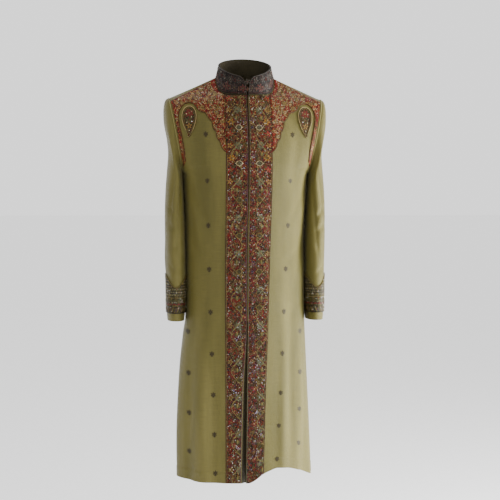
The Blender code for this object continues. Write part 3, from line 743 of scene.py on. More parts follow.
class Nodes:
    """A material's node tree, with short calls to add to it."""

    def __init__(self, name, **sockets):
        self.material = bpy.data.materials.new(name)
        self.material.use_nodes = True
        self.tree = self.material.node_tree
        self.shader = self.tree.nodes["Principled BSDF"]
        for socket, value in sockets.items():
            self.shader.inputs[socket.replace("_", " ")].default_value = value

    def add(self, kind, inputs=(), **settings):
        made = self.tree.nodes.new("ShaderNode" + kind)
        for name, value in settings.items():
            setattr(made, name, value)
        for socket, value in dict(inputs).items():
            if isinstance(value, bpy.types.NodeSocket):
                self.tree.links.new(value, made.inputs[socket])
            else:
                made.inputs[socket].default_value = value
        return made

    def link(self, output, socket):
        self.tree.links.new(output, self.shader.inputs[socket])

    def maths(self, operation, first, second=0.0):
        return self.add("Math", {0: first, 1: second}, operation=operation).outputs[0]

    def mix(self, share, first, second, blend_type="MIX"):
        mixed = self.add("Mix", data_type="RGBA", blend_type=blend_type)
        for socket, value in zip((0, 6, 7), (share, first, second)):
            if isinstance(value, bpy.types.NodeSocket):
                self.tree.links.new(value, mixed.inputs[socket])
            else:
                mixed.inputs[socket].default_value = value if socket == 0 else (*value, 1)
        return mixed.outputs[2]

    def ramp(self, value, stops, interpolation="LINEAR"):
        made = self.add("ValToRGB", {0: value})
        made.color_ramp.interpolation = interpolation
        elements = made.color_ramp.elements
        while len(elements) < len(stops):
            elements.new(0.5)
        for element, (place, colour) in zip(elements, stops):
            element.position = place
            element.color = (*colour, 1)
        return made.outputs[0]

    def scaled(self, coordinates, scale):
        return self.add("Mapping", {"Vector": coordinates, "Scale": scale}).outputs[0]

    def noise(self, coordinates, scale, detail=3.0, roughness=0.5):
        made = self.add("TexNoise", {"Vector": coordinates, "Scale": scale, "Detail": detail})
        made.inputs["Roughness"].default_value = roughness
        return made.outputs[0]

    def bump(self, height, distance, strength=1.0, normal=None):
        made = self.add("Bump", {"Height": height, "Distance": distance, "Strength": strength})
        if normal is not None:
            self.tree.links.new(normal, made.inputs["Normal"])
        return made.outputs[0]


def woven(nodes, thread, distance):
    """Bump of crossed threads of one width, from the cloth's own coordinates."""
    cloth = nodes.add("UVMap", uv_map="cloth").outputs[0]
    split = nodes.add("SeparateXYZ", {0: cloth})
    turns = 2 * math.pi / thread
    warp = nodes.maths("SINE", nodes.maths("MULTIPLY", split.outputs[0], turns))
    weft = nodes.maths("SINE", nodes.maths("MULTIPLY", split.outputs[1], turns))
    return nodes.bump(nodes.maths("MULTIPLY", warp, weft), distance), cloth


def silk_material(name, shades, roughness=0.46):
    """Plain silk: long soft streaks of colour, partly random tone and partly painted shade of soft folds,
    slubs across and a fine weave.
    """
    dark, middle, light = shades
    nodes = Nodes(name, Sheen_Weight=0.06, Sheen_Roughness=0.35, Specular_IOR_Level=0.16)
    nodes.shader.inputs["Sheen Tint"].default_value = (1.0, 0.95, 0.82, 1)
    weave, cloth = woven(nodes, 0.0011, 0.00012)
    place = nodes.add("TexCoord").outputs["Object"]
    # Vertical streaks of dark and light: partly random tone, partly painted shade of soft folds
    tone_and_fold_shade_streaks = nodes.noise(nodes.scaled(place, (14, 14, 2.2)), 1.0, 4, 0.55)
    slubs = nodes.noise(nodes.scaled(cloth, (30, 620, 1)), 1.0, 2, 0.6)
    colour = nodes.ramp(tone_and_fold_shade_streaks, ((0.30, dark), (0.52, middle), (0.74, light)))
    slub_shade = nodes.ramp(slubs, ((0.35, (0.86, 0.86, 0.84)), (0.62, (1.06, 1.05, 1.02))))
    nodes.link(nodes.mix(0.75, colour, slub_shade, "MULTIPLY"), "Base Color")
    gloss = nodes.maths("MULTIPLY_ADD", slubs, 0.16)
    gloss.node.inputs[2].default_value = roughness - 0.08
    nodes.link(gloss, "Roughness")
    nodes.link(nodes.bump(slubs, 0.00025, 0.5, weave), "Normal")
    return nodes.material


def ground_stops(palette):
    """Stops of a colour ramp, each as wide as its colour's share."""
    total, stops = 0.0, []
    whole = sum(share for share, _ in palette)
    for share, colour in palette:
        stops.append((total / whole, colour))
        total += share
    return stops


def ground_material(name, palette, cell):
    """Cloth filled with short stitches of many colours, each cell its own shade."""
    nodes = Nodes(name, Specular_IOR_Level=0.10, Roughness=0.6)
    place = nodes.add("TexCoord").outputs["Object"]
    stretched = nodes.scaled(place, (1.0, 1.0, 0.7))
    cells = nodes.add("TexVoronoi", {"Vector": stretched, "Scale": 1 / cell})
    pick = nodes.add("SeparateColor", {0: cells.outputs["Color"]})
    colour = nodes.ramp(pick.outputs[0], ground_stops(palette), "CONSTANT")
    patches = nodes.noise(place, 38.0, 3)
    tone = nodes.ramp(patches, ((0.3, (0.75,) * 3), (0.7, (1.15,) * 3)))
    threads = nodes.noise(nodes.scaled(place, (1500, 1500, 500)), 1.0, 2)
    tone_2 = nodes.ramp(threads, ((0.3, (0.72,) * 3), (0.7, (1.2,) * 3)))
    colour = nodes.mix(1.0, colour, tone, "MULTIPLY")
    nodes.link(nodes.mix(1.0, colour, tone_2, "MULTIPLY"), "Base Color")
    raised = nodes.maths("SUBTRACT", 1.0, cells.outputs["Distance"])
    stitches = nodes.bump(raised, 0.0006, 0.8)
    nodes.link(nodes.bump(threads, 0.0003, 0.6, stitches), "Normal")
    return nodes.material


def thread_material(name):
    """Raised embroidery thread: its colour is on the mesh, with a twist and small shade changes."""
    nodes = Nodes(name, Specular_IOR_Level=0.18, Roughness=0.42)
    colour = nodes.add("VertexColor", layer_name="thread").outputs[0]
    place = nodes.add("TexCoord").outputs["Object"]
    twist = nodes.noise(nodes.scaled(place, (2200, 2200, 1400)), 1.0, 1)
    shade = nodes.ramp(twist, ((0.3, (0.70,) * 3), (0.7, (1.22,) * 3)))
    nodes.link(nodes.mix(1.0, colour, shade, "MULTIPLY"), "Base Color")
    nodes.link(nodes.bump(twist, 0.00025, 0.7), "Normal")
    return nodes.material


def sequin_material(name):
    """Small polished discs, each with its own tint."""
    nodes = Nodes(name, Metallic=0.55, Roughness=0.16)
    colour = nodes.add("VertexColor", layer_name="thread").outputs[0]
    place = nodes.add("TexCoord").outputs["Object"]
    scuffs = nodes.noise(place, 900.0, 2)
    shade = nodes.ramp(scuffs, ((0.3, (0.85,) * 3), (0.7, (1.05,) * 3)))
    nodes.link(nodes.mix(1.0, colour, shade, "MULTIPLY"), "Base Color")
    nodes.link(nodes.bump(scuffs, 0.0001, 0.4), "Normal")
    return nodes.material


def placed(name, data):
    """A new object in the scene."""
    made = bpy.data.objects.new(name, data)
    bpy.context.scene.collection.objects.link(made)
    return made


def make_object(name, points, faces, material, colours=None, uv=None):
    mesh = bpy.data.meshes.new(name)
    mesh.from_pydata(points.reshape(-1, 3).tolist(), [], faces)
    mesh.validate()
    mesh.update()
    mesh.shade_smooth()
    for each in material if isinstance(material, (list, tuple)) else [material]:
        mesh.materials.append(each)
    if colours is not None:
        layer = mesh.color_attributes.new("thread", "FLOAT_COLOR", "POINT")
        rgba = np.concatenate([colours, np.ones((len(colours), 1))], axis=1)
        layer.data.foreach_set("color", rgba.astype(np.float32).ravel())
    if uv is not None:
        corners = np.empty(len(mesh.loops), np.int64)
        mesh.loops.foreach_get("vertex_index", corners)
        layer = mesh.uv_layers.new(name="cloth")
        layer.data.foreach_set("uv", uv[corners].astype(np.float32).ravel())
    return placed(name, mesh)


def grid_faces(rows, columns, first, joined, flipped):
    """Faces of a grid of points, whose numbers start at first; joined closes it round."""
    i = np.arange(rows - 1)[:, None]
    j = np.arange(columns if joined else columns - 1)[None, :]
    k = (j + 1) % columns
    quad = np.stack(np.broadcast_arrays(i * columns + j, i * columns + k,
                                        (i + 1) * columns + k, (i + 1) * columns + j), axis=-1)
    quad = quad.reshape(-1, 4) + first
    return quad[:, ::-1] if flipped else quad


def shell(name, outer, inner, material, joined=False, flipped=False, painted_shade_lining=None, painted_shade_columns=0):
    """A closed wall of cloth between two grids of points, its inside in the dark lining that is painted
    shade; its first columns may take that painted shade too.
    """
    rows, columns = outer.shape[:2]
    count = rows * columns
    outside = grid_faces(rows, columns, 0, joined, flipped)
    inside = grid_faces(rows, columns, count, joined, not flipped)
    numbers = np.arange(count).reshape(rows, columns)
    loops = [numbers[0], numbers[-1][::-1]]
    if not joined:
        ring = np.concatenate([numbers[0], numbers[1:, -1], numbers[-1, -2::-1], numbers[-2:0:-1, 0]])
        loops = [ring]
    rims = []
    for loop in loops:
        following = np.roll(loop, -1)
        rim = np.stack([loop, loop + count, following + count, following], axis=-1)
        rims.append(rim[:, ::-1] if flipped else rim)
    faces = np.concatenate([outside, inside, *rims])
    points = np.concatenate([outer.reshape(-1, 3), inner.reshape(-1, 3)])
    across = np.cumsum(np.linalg.norm(np.diff(outer, axis=1, prepend=outer[:, :1]), axis=-1), axis=1)
    along = np.cumsum(np.linalg.norm(np.diff(outer, axis=0, prepend=outer[:1]), axis=-1), axis=0)
    uv = np.tile(np.stack([across, along], axis=-1).reshape(-1, 2), (2, 1))
    made = make_object(name, points, faces.tolist(), [material, painted_shade_lining or material], uv=uv)
    slots = np.zeros(len(made.data.polygons), np.int32)
    if len(slots) == len(faces):
        slots[len(outside):len(outside) + len(inside)] = 1
        if painted_shade_columns:
            slots[:len(outside)].reshape(rows - 1, -1)[:, :painted_shade_columns] = 1
        made.data.polygons.foreach_set("material_index", slots)
    made.data.set_sharp_from_angle(angle=math.radians(60))
    return made


def row_ups():
    """Rows from the hem to the shoulder seam, closer together at the hem."""
    hem_share = 1.5 * HEM_TURN / SKIRT_LENGTH
    hem = -1 + hem_share * np.arange(HEM_ROWS) / HEM_ROWS
    skirt = blend(-1 + hem_share, 0, np.arange(SKIRT_ROWS) / SKIRT_ROWS)
    chest = CENTRE_SHARE * np.arange(CHEST_ROWS) / CHEST_ROWS
    collar = blend(CENTRE_SHARE, 1, np.arange(NECK_ROWS + 1) / NECK_ROWS)
    return np.concatenate([hem, skirt, chest, collar])


def row_height(up):
    """Heights of a panel's rows at the centre line."""
    return np.where(up <= 0, blend(UNDERARM, HEM, -up), inner_edge(-1, np.minimum(up, CENTRE_SHARE))[..., 2])


def row_half_width(side, up):
    """How far a panel's rows reach sideways."""
    lower = half_width(side, row_height(up))
    return np.where(up <= 0, lower, armhole(-1, np.clip(up, 0, 1))[..., 0])


def seam_shift(side, face, turn, up):
    """Half a seam's gap, where a panel ends at the side, the shoulder or the centre back."""
    at_side = ((turn >= 90) & (up <= 0)) | (up >= 1)
    y = np.where(at_side, face * SEWN_GAP / 2, 0)
    x = np.where(~at_side & (turn == 0), side * SEWN_GAP / 2, 0) if face > 0 else 0
    return vectors(x, y, np.zeros(y.shape))


def panel_shell(name, side, face, turns, ups, material, painted_shade_lining, painted_shade_columns):
    points, normals = surface(side, face, turns, ups)
    points = points + seam_shift(side, face, turns, ups)
    inner = points - normals * CLOTH
    return shell(name, points, inner, material, flipped=side * face > 0, painted_shade_lining=painted_shade_lining,
                 painted_shade_columns=painted_shade_columns)


def left_front_turns(ups):
    """Columns of the left front, from its edge at the opening to the side seam."""
    first = turn_at(lap("edge", row_height(ups)) / row_half_width(1, ups))
    first = np.where(ups <= CENTRE_SHARE, first, 0.0)
    shares = (np.arange(PANEL_COLUMNS + 1) / PANEL_COLUMNS) ** COLUMN_CROWDING
    return blend(first[:, None], 90, shares[None, :])


def right_front_turns(ups):
    """Columns of the right front: the underlap, the step back, and the front itself."""
    height, width = row_height(ups), row_half_width(-1, ups)
    shelf = np.where(ups <= CENTRE_SHARE, turn_at(-lap_shelf(height) / width), 2.0)
    hidden = np.where(ups <= CENTRE_SHARE, turn_at(-lap("under", height) / width), 0.0)
    first = np.where(ups <= CENTRE_SHARE, turn_at(-lap("band_end", height) / width), 3.0)
    step_columns = UNDERLAP_COLUMNS - HIDDEN_COLUMNS
    under = blend(hidden[:, None], shelf[:, None], np.linspace(0, 1, HIDDEN_COLUMNS + 1)[None, :-1])
    step = blend(shelf[:, None], first[:, None], np.linspace(0, 1, step_columns + 1)[None, :-1])
    shares = (np.arange(PANEL_COLUMNS + 1) / PANEL_COLUMNS) ** COLUMN_CROWDING
    return np.concatenate([under, step, blend(first[:, None], 90, shares[None, :])], axis=1)


def inside_outline(x, z, outline):
    """Whether points lie inside a closed outline."""
    found = np.zeros(np.shape(x), bool)
    following = np.roll(outline, -1, axis=0)
    for (x1, z1), (x2, z2) in zip(outline, following):
        if z1 == z2:
            continue
        crosses = (z1 > z) != (z2 > z)
        found ^= crosses & (x < (x2 - x1) * (z - z1) / (z2 - z1) + x1)
    return found


def outline_distance(x, z, outline):
    """Distance from points to the nearest side of an outline."""
    best = np.full(np.shape(x), 1.0)
    for start, end in zip(outline, np.roll(outline, -1, axis=0)):
        run = end - start
        length = max(float(run @ run), 1e-14)
        share = np.clip(((x - start[0]) * run[0] + (z - start[1]) * run[1]) / length, 0, 1)
        best = np.minimum(best, np.hypot(x - start[0] - share * run[0], z - start[1] - share * run[1]))
    return best


def divided(outline, spacing):
    """An outline with points no further apart than spacing."""
    points = []
    for start, end in zip(outline, np.roll(outline, -1, axis=0)):
        steps = max(1, math.ceil(np.linalg.norm(end - start) / spacing))
        points += [start + (end - start) * i / steps for i in range(steps)]
    return np.array(points)


def patch(name, outline, spacing, lay, above, thickness, material):
    """A flat outline of cloth, filled with points and laid on the coat as a closed wall."""
    border = divided(outline, spacing)
    low, high = border.min(0), border.max(0)
    x, z = np.meshgrid(np.arange(low[0], high[0], spacing), np.arange(low[1], high[1], spacing))
    x, z = x.ravel() + 0.31 * spacing * (np.round(z.ravel() / spacing) % 2), z.ravel()
    keep = inside_outline(x, z, border) & (outline_distance(x, z, border) > 0.5 * spacing)
    flat = np.concatenate([border, np.stack([x[keep], z[keep]], axis=-1)])
    sides = [(i, (i + 1) % len(border)) for i in range(len(border))]
    found = delaunay_2d_cdt([Vector(p) for p in flat], sides, [], 1, 1e-7)
    flat = np.array([tuple(p) for p in found[0]])
    triangles = np.array([tuple(f) for f in found[2]])
    count = len(flat)
    edge_depth = np.clip(outline_distance(flat[:, 0], flat[:, 1], border) / 0.0012, 0, 1)
    crown = thickness * (0.55 + 0.45 * np.sqrt(1 - (1 - edge_depth) ** 2))
    outer = lay(flat[:, 0], flat[:, 1], above + crown)
    inner = lay(flat[:, 0], flat[:, 1], np.full(count, above))
    normal = np.cross(outer[triangles[0][1]] - outer[triangles[0][0]],
                      outer[triangles[0][2]] - outer[triangles[0][0]])
    if normal @ (outer[triangles[0][0]] - inner[triangles[0][0]]) < 0:
        triangles = triangles[:, ::-1]
    used = {}
    for triangle in triangles:
        for a, b in zip(triangle, np.roll(triangle, -1)):
            used[(int(a), int(b))] = True
    rim = [(a, b) for a, b in used if (b, a) not in used]
    walls = [(a, a + count, b + count, b) for a, b in rim]
    faces = triangles.tolist() + (triangles[:, ::-1] + count).tolist() + walls
    uv = np.tile(flat, (2, 1))
    made = make_object(name, np.concatenate([outer, inner]), faces, material, uv=uv)
    made.data.set_sharp_from_angle(angle=math.radians(60))
    return made


class Stitching:
    """Raised threads, cords and discs, gathered flat and then laid on a surface as one mesh."""

    def __init__(self):
        self.points, self.faces, self.colours, self.count = [], [], [], 0

    def put(self, points, faces, colours):
        """Adds points as across, height and raise, faces by number, and a colour for each point."""
        self.points.append(np.asarray(points, float).reshape(-1, 3))
        self.colours.append(np.broadcast_to(colours, (len(self.points[-1]), 3)))
        self.faces += [tuple(int(n) + self.count for n in face) for face in faces]
        self.count += len(self.points[-1])

    def stamp(self, shape, x, z, turn, length, width, raised, colours):
        """Copies of one small shape, each with its own place, turn, size and colour."""
        flat, height, faces = shape
        values = map(np.atleast_1d, (x, z, turn, length, width, raised))
        x, z, turn, length, width, raised = np.broadcast_arrays(*values)
        colours = np.broadcast_to(colours, (len(x), 3))
        a = flat[None, :, 0] * length[:, None]
        b = flat[None, :, 1] * width[:, None]
        cosine, sine = np.cos(turn)[:, None], np.sin(turn)[:, None]
        px = x[:, None] + a * cosine - b * sine
        pz = z[:, None] + a * sine + b * cosine
        points = np.stack([px, pz, height[None, :] * raised[:, None]], axis=-1).reshape(-1, 3)
        numbers = (np.arange(len(x)) * len(flat))[:, None]
        all_faces = [tuple(f) for face in faces for f in (numbers + np.array(face)[None, :]).tolist()]
        self.put(points, all_faces, np.repeat(colours, len(flat), axis=0))

    def cord(self, line, width, raised, colour, closed=False):
        """A rounded cord along a flat line."""
        line = np.asarray(line, float)
        if closed:
            run = np.roll(line, -1, axis=0) - np.roll(line, 1, axis=0)
        else:
            run = np.gradient(line, axis=0)
        run = run / np.maximum(np.linalg.norm(run, axis=1, keepdims=True), 1e-12)
        across = pairs(-run[:, 1], run[:, 0]) * width / 2
        strips = [(1.0, 0.0), (0.6, 0.8), (0.0, 1.0), (-0.6, 0.8), (-1.0, 0.0)]
        points = []
        for share, height in strips:
            lifted = np.full((len(line), 1), raised * height)
            points.append(np.concatenate([line + across * share, lifted], axis=1))
        points = np.stack(points, axis=1).reshape(-1, 3)
        faces = []
        last = len(line) if closed else len(line) - 1
        wide = len(strips)
        for i in range(last):
            k = (i + 1) % len(line)
            for j in range(wide - 1):
                faces.append((i * wide + j, k * wide + j, k * wide + j + 1, i * wide + j + 1))
        self.put(points, faces, colour)

    def laid(self, name, lay, above, material, outline=None):
        """One mesh of all the stitching, without what lies outside the outline."""
        points = np.concatenate(self.points)
        colours = np.concatenate(self.colours)
        faces = self.faces
        if outline is not None:
            kept = inside_outline(points[:, 0], points[:, 1], outline)
            faces = [face for face in faces if all(kept[n] for n in face)]
            numbers = np.unique(np.concatenate([np.array(face) for face in faces]))
            renumber = np.full(len(points), -1)
            renumber[numbers] = np.arange(len(numbers))
            faces = [tuple(int(renumber[n]) for n in face) for face in faces]
            points, colours = points[numbers], colours[numbers]
        places = lay(points[:, 0], points[:, 1], above + points[:, 2])
        return make_object(name, places, faces, material, colours=colours)


def disc_shape(sides):
    """A low domed disc."""
    angles = 2 * math.pi * np.arange(sides) / sides
    flat = np.concatenate([[(0, 0)], pairs(np.cos(angles), np.sin(angles))])
    height = np.concatenate([[1.0], np.zeros(sides)])
    return flat, height, [(0, 1 + i, 1 + (i + 1) % sides) for i in range(sides)]


def leaf_shape(steps):
    """A pointed oval of satin stitch with a raised middle, tips at -1 and 1."""
    ends = np.linspace(-1, 1, steps + 1)
    breadth = np.cos(ends * math.pi / 2) ** 0.8
    flat = [(-1, 0)]
    height = [0.1]
    for end, half in zip(ends[1:-1], breadth[1:-1]):
        flat += [(end, half), (end, 0), (end, -half)]
        height += [0.15, half, 0.15]
    flat.append((1, 0))
    height.append(0.1)
    faces = [(0, 2, 1), (0, 3, 2)]
    for i in range(steps - 2):
        a, b = 1 + 3 * i, 4 + 3 * i
        faces += [(a, a + 1, b + 1, b), (a + 1, a + 2, b + 2, b + 1)]
    last = 1 + 3 * (steps - 2)
    end = len(flat) - 1
    faces += [(last, last + 1, end), (last + 1, last + 2, end)]
    return np.array(flat, float), np.array(height, float), faces


def ring_shape(sides, inner):
    """A rounded ring of cord."""
    angles = 2 * math.pi * np.arange(sides) / sides
    circle = pairs(np.cos(angles), np.sin(angles))
    flat = np.concatenate([circle * r for r in (1.0, (1 + inner) / 2, inner)])
    height = np.concatenate([np.full(sides, h) for h in (0.0, 1.0, 0.0)])
    faces = []
    for i in range(sides):
        k = (i + 1) % sides
        for band in (0, sides):
            faces.append((band + i, band + k, band + sides + k, band + sides + i))
    return flat, height, faces


def stitch_shape():
    """One short stitch, pointed at both ends."""
    flat = np.array([(-1, 0), (0, 1), (1, 0), (0, -1), (0, 0)], float)
    height = np.array([0.1, 0.2, 0.1, 0.2, 1.0])
    return flat, height, [(0, 4, 1), (1, 4, 2), (2, 4, 3), (3, 4, 0)]


DISC = disc_shape(7)
LEAF = leaf_shape(6)
RING = ring_shape(14, 0.62)
THIN_RING = ring_shape(16, 0.80)
STITCH = stitch_shape()


def pick(palette, count):
    """Seeded choice of thread colours from shares and colours."""
    shares = np.array([share for share, _ in palette])
    chosen = chance.choice(len(palette), count, p=shares / shares.sum())
    return np.array([colour for _, colour in palette])[chosen]


def flower(work, x, z, size, petals, petal_colour, heart_colour, turn=0.0, raised=0.0011):
    """Petals round a heart; x and z are arrays of places."""
    x, z = np.atleast_1d(x).astype(float), np.atleast_1d(z).astype(float)
    for i in range(petals):
        angle = turn + 2 * math.pi * i / petals
        px, pz = x + 0.58 * size * math.cos(angle), z + 0.58 * size * math.sin(angle)
        work.stamp(LEAF, px, pz, angle, 0.44 * size, 0.24 * size, raised, petal_colour)
    work.stamp(DISC, x, z, 0.0, 0.20 * size, 0.20 * size, raised * 1.4, heart_colour)


STITCH_LENGTH = 0.0021
STITCH_WIDTH = 0.0006
STITCH_RAISED = 0.0007


def scatter(low, high, count):
    """Seeded places between two corners."""
    return chance.uniform(low[0], high[0], count), chance.uniform(low[1], high[1], count)


def fill_stitches(work, low, high, area_each, palette, margin=None):
    """Short stitches at all angles over a stretch of ground."""
    area = (high[0] - low[0]) * (high[1] - low[1])
    x, z = scatter(low, high, int(area / area_each))
    if margin is not None:
        kept = margin(x, z)
        x, z = x[kept], z[kept]
    count = len(x)
    turn = chance.uniform(0, math.pi, count)
    work.stamp(STITCH, x, z, turn, chance.uniform(0.7, 1.3, count) * STITCH_LENGTH,
               chance.uniform(0.8, 1.4, count) * STITCH_WIDTH, STITCH_RAISED, pick(palette, count))


TOP_BAND_PALETTE = (
    (0.14, RUST), (0.10, RED), (0.22, KHAKI_GOLD), (0.05, GOLD_THREAD), (0.14, OLIVE),
    (0.26, DARK_BROWN), (0.04, MAUVE), (0.05, PALE_GOLD),
)
BAND_PALETTE = (
    (0.22, RUST), (0.15, RED), (0.03, BRIGHT_RED), (0.11, KHAKI_GOLD), (0.03, GOLD_THREAD),
    (0.08, OLIVE), (0.30, DARK_BROWN), (0.05, MAUVE), (0.03, PALE_GOLD),
)
LOW_BAND_PALETTE = (
    (0.14, RUST), (0.06, RED), (0.12, KHAKI_GOLD), (0.12, OLIVE), (0.32, DARK_BROWN),
    (0.12, MAUVE), (0.07, BROWN), (0.02, CREAM), (0.03, BLUE_GREY),
)
BAND_GROUND = ((0.30, DARK_BROWN), (0.26, RUST), (0.14, RED), (0.18, BROWN), (0.12, OLIVE))
TOP_BAND = -0.19
TOP_BAND_BLEND = 0.05
LOW_BAND = -0.50
LOW_BAND_BLEND = 0.12
YOKE_PALETTE = (
    (0.10, BRIGHT_RED), (0.50, RED), (0.05, GOLD_THREAD), (0.16, DARK_BROWN),
    (0.04, OLIVE), (0.07, KHAKI_GOLD), (0.08, PALE_GOLD),
)
DULL_PALETTE = (
    (0.16, RED), (0.24, KHAKI_GOLD), (0.20, OLIVE), (0.22, DARK_BROWN), (0.10, RUST), (0.08, CREAM),
)
PAISLEY_GROUND = ((0.4, OLIVE), (0.2, RUST), (0.4, DARK_BROWN))
PAISLEY_PALETTE = ((0.30, OLIVE), (0.20, RUST), (0.16, KHAKI_GOLD), (0.34, DARK_BROWN))
SEQUIN_PALETTE = ((0.6, linear(236, 232, 222)), (0.2, linear(214, 196, 150)), (0.2, linear(196, 196, 222)))
BEAD_PALETTE = ((0.5, linear(232, 228, 226)), (0.5, linear(158, 150, 190)))
YOKE_SEQUIN_PALETTE = ((0.5, linear(232, 220, 190)), (0.5, linear(196, 160, 92)))

# Width of the plain red strip beside the collar
RED_STRIP = 0.011


def band_limits(name, height):
    """Inner and outer edge of a front band, as distances outwards from the centre line."""
    if name == "left":
        inner = lap("edge", height) + GAP
    else:
        inner = GAP - lap("band_end", height)
    return inner, read(BANDS, "height", name, height)


NECKLINE_POINTS = 16
BAND_ROWS = 90
BAND_ABOVE_HEM = 0.0005


def neckline_from_front(first, last):
    line = neck(np.linspace(first, last, NECKLINE_POINTS))
    return pairs(line[:, 0] + COLLAR_CLEARANCE, line[:, 2] - COLLAR_CLEARANCE)


def band_outline(name):
    heights = blend(HEM + BAND_ABOVE_HEM, NECK_FRONT, np.arange(BAND_ROWS) / BAND_ROWS)
    inner, outer = band_limits(name, heights)
    corner = math.degrees(math.asin((outer[-1] - COLLAR_CLEARANCE) / NECK_HALF_WIDTH))
    return np.concatenate([
        pairs(inner, heights),
        neckline_from_front(0, corner),
        pairs(outer, heights)[::-1],
    ])


def yoke_outline():
    along = np.linspace(0, 1, 61)
    lobe = SCALLOP_DEPTH * np.abs(np.sin(math.pi * SCALLOPS * along))
    x = read(YOKE_EDGE, "along", "x", along) + SCALLOP_OUT * lobe - YOKE_TO_BAND * (along == 0)
    z = read(YOKE_EDGE, "along", "height", along) - SCALLOP_DOWN * lobe
    points = [pairs(x, z), pairs(YOKE_STRIP["x"], YOKE_STRIP["height"])]
    seam_lean = (SHOULDER_TIP_X - CHEST_HALF_WIDTH) / (SHOULDER_TIP_Z - UNDERARM)
    foot = SHOULDER_TIP_X + (YOKE_END - SHOULDER_TIP_Z) * seam_lean - YOKE_FROM_ARMHOLE
    points.append(np.array([
        (foot, YOKE_END),
        (SHOULDER_TIP_X - YOKE_FROM_TIP, SHOULDER_TIP_Z - YOKE_FROM_RIDGE_AT_TIP),
        (NECK_HALF_WIDTH + COLLAR_CLEARANCE, -YOKE_FROM_RIDGE_AT_NECK),
    ]))
    inner_x = YOKE_EDGE["x"][0] - YOKE_TO_BAND - COLLAR_CLEARANCE
    points.append(neckline_from_front(YOKE_NECK_START, math.degrees(math.asin(inner_x / NECK_HALF_WIDTH))))
    return np.concatenate(points)


def paisley_outline():
    right = pairs(PAISLEY["middle"] + PAISLEY["half_width"], PAISLEY["height"])
    left = pairs(PAISLEY["middle"] - PAISLEY["half_width"], PAISLEY["height"])
    return np.concatenate([right, left[::-1]])


def finish_piece(piece, node=None):
    """Says what a piece rides on and the node that it replaces."""
    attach(piece, "root")
    if node:
        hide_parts(node)
    return piece


# The band's pattern, as distances outwards from the opening and down from each eye
BAND_REPEAT = 0.096
FIRST_EYE = -0.0467
EYES = 11
BRIGHT_EYES = 2
EYE_X = 0.0270
# Flowers of each repeat: x, height above its eye, size, petals, their colour near the top
# and lower down, the colour of the heart, and the turn
BAND_FLOWERS = (
    (0.0470, 0.0150, 0.0100, 6, AMBER, RUST, DARK_BROWN, 0.0),
    (0.0500, -0.0170, 0.0088, 5, BRIGHT_RED, RED, KHAKI_GOLD, 0.4),
    (0.0300, -0.0480, 0.0115, 7, GREY_GREEN, GREY_GREEN, MAUVE, 0.2),
    (0.0110, 0.0210, 0.0078, 5, MAUVE, MAUVE, KHAKI_GOLD, 0.9),
    (0.0120, -0.0250, 0.0082, 6, RUST, RUST, PALE_GOLD, 0.1),
    (0.0510, -0.0480, 0.0080, 5, GOLD_THREAD, KHAKI_GOLD, RUST, 0.6),
)
STEM_X = 0.034
STEM_SWING = 0.0145
LEAF_FROM_STEM = 0.0034
BEAD_CLUSTERS = (
    (0.030, -0.69), (0.022, -0.79), (0.044, -0.835), (0.020, -0.92), (0.034, -0.985), (0.018, -1.03),
)


def curls(work, x, z, palette, margin):
    """Small open rings, like the tips of scrolling stems."""
    kept = margin(x, z)
    x, z = x[kept], z[kept]
    size = chance.uniform(0.0020, 0.0034, len(x))
    turn = chance.uniform(0, 3, len(x))
    work.stamp(THIN_RING, x, z, turn, size, size * 0.85, 0.0013, pick(palette, len(x)))


CURL_PALETTE = ((0.45, PALE_GOLD), (0.35, KHAKI_GOLD), (0.20, CREAM))
LOW_CURL_PALETTE = ((0.30, PALE_GOLD), (0.45, KHAKI_GOLD), (0.25, GREY_GREEN))


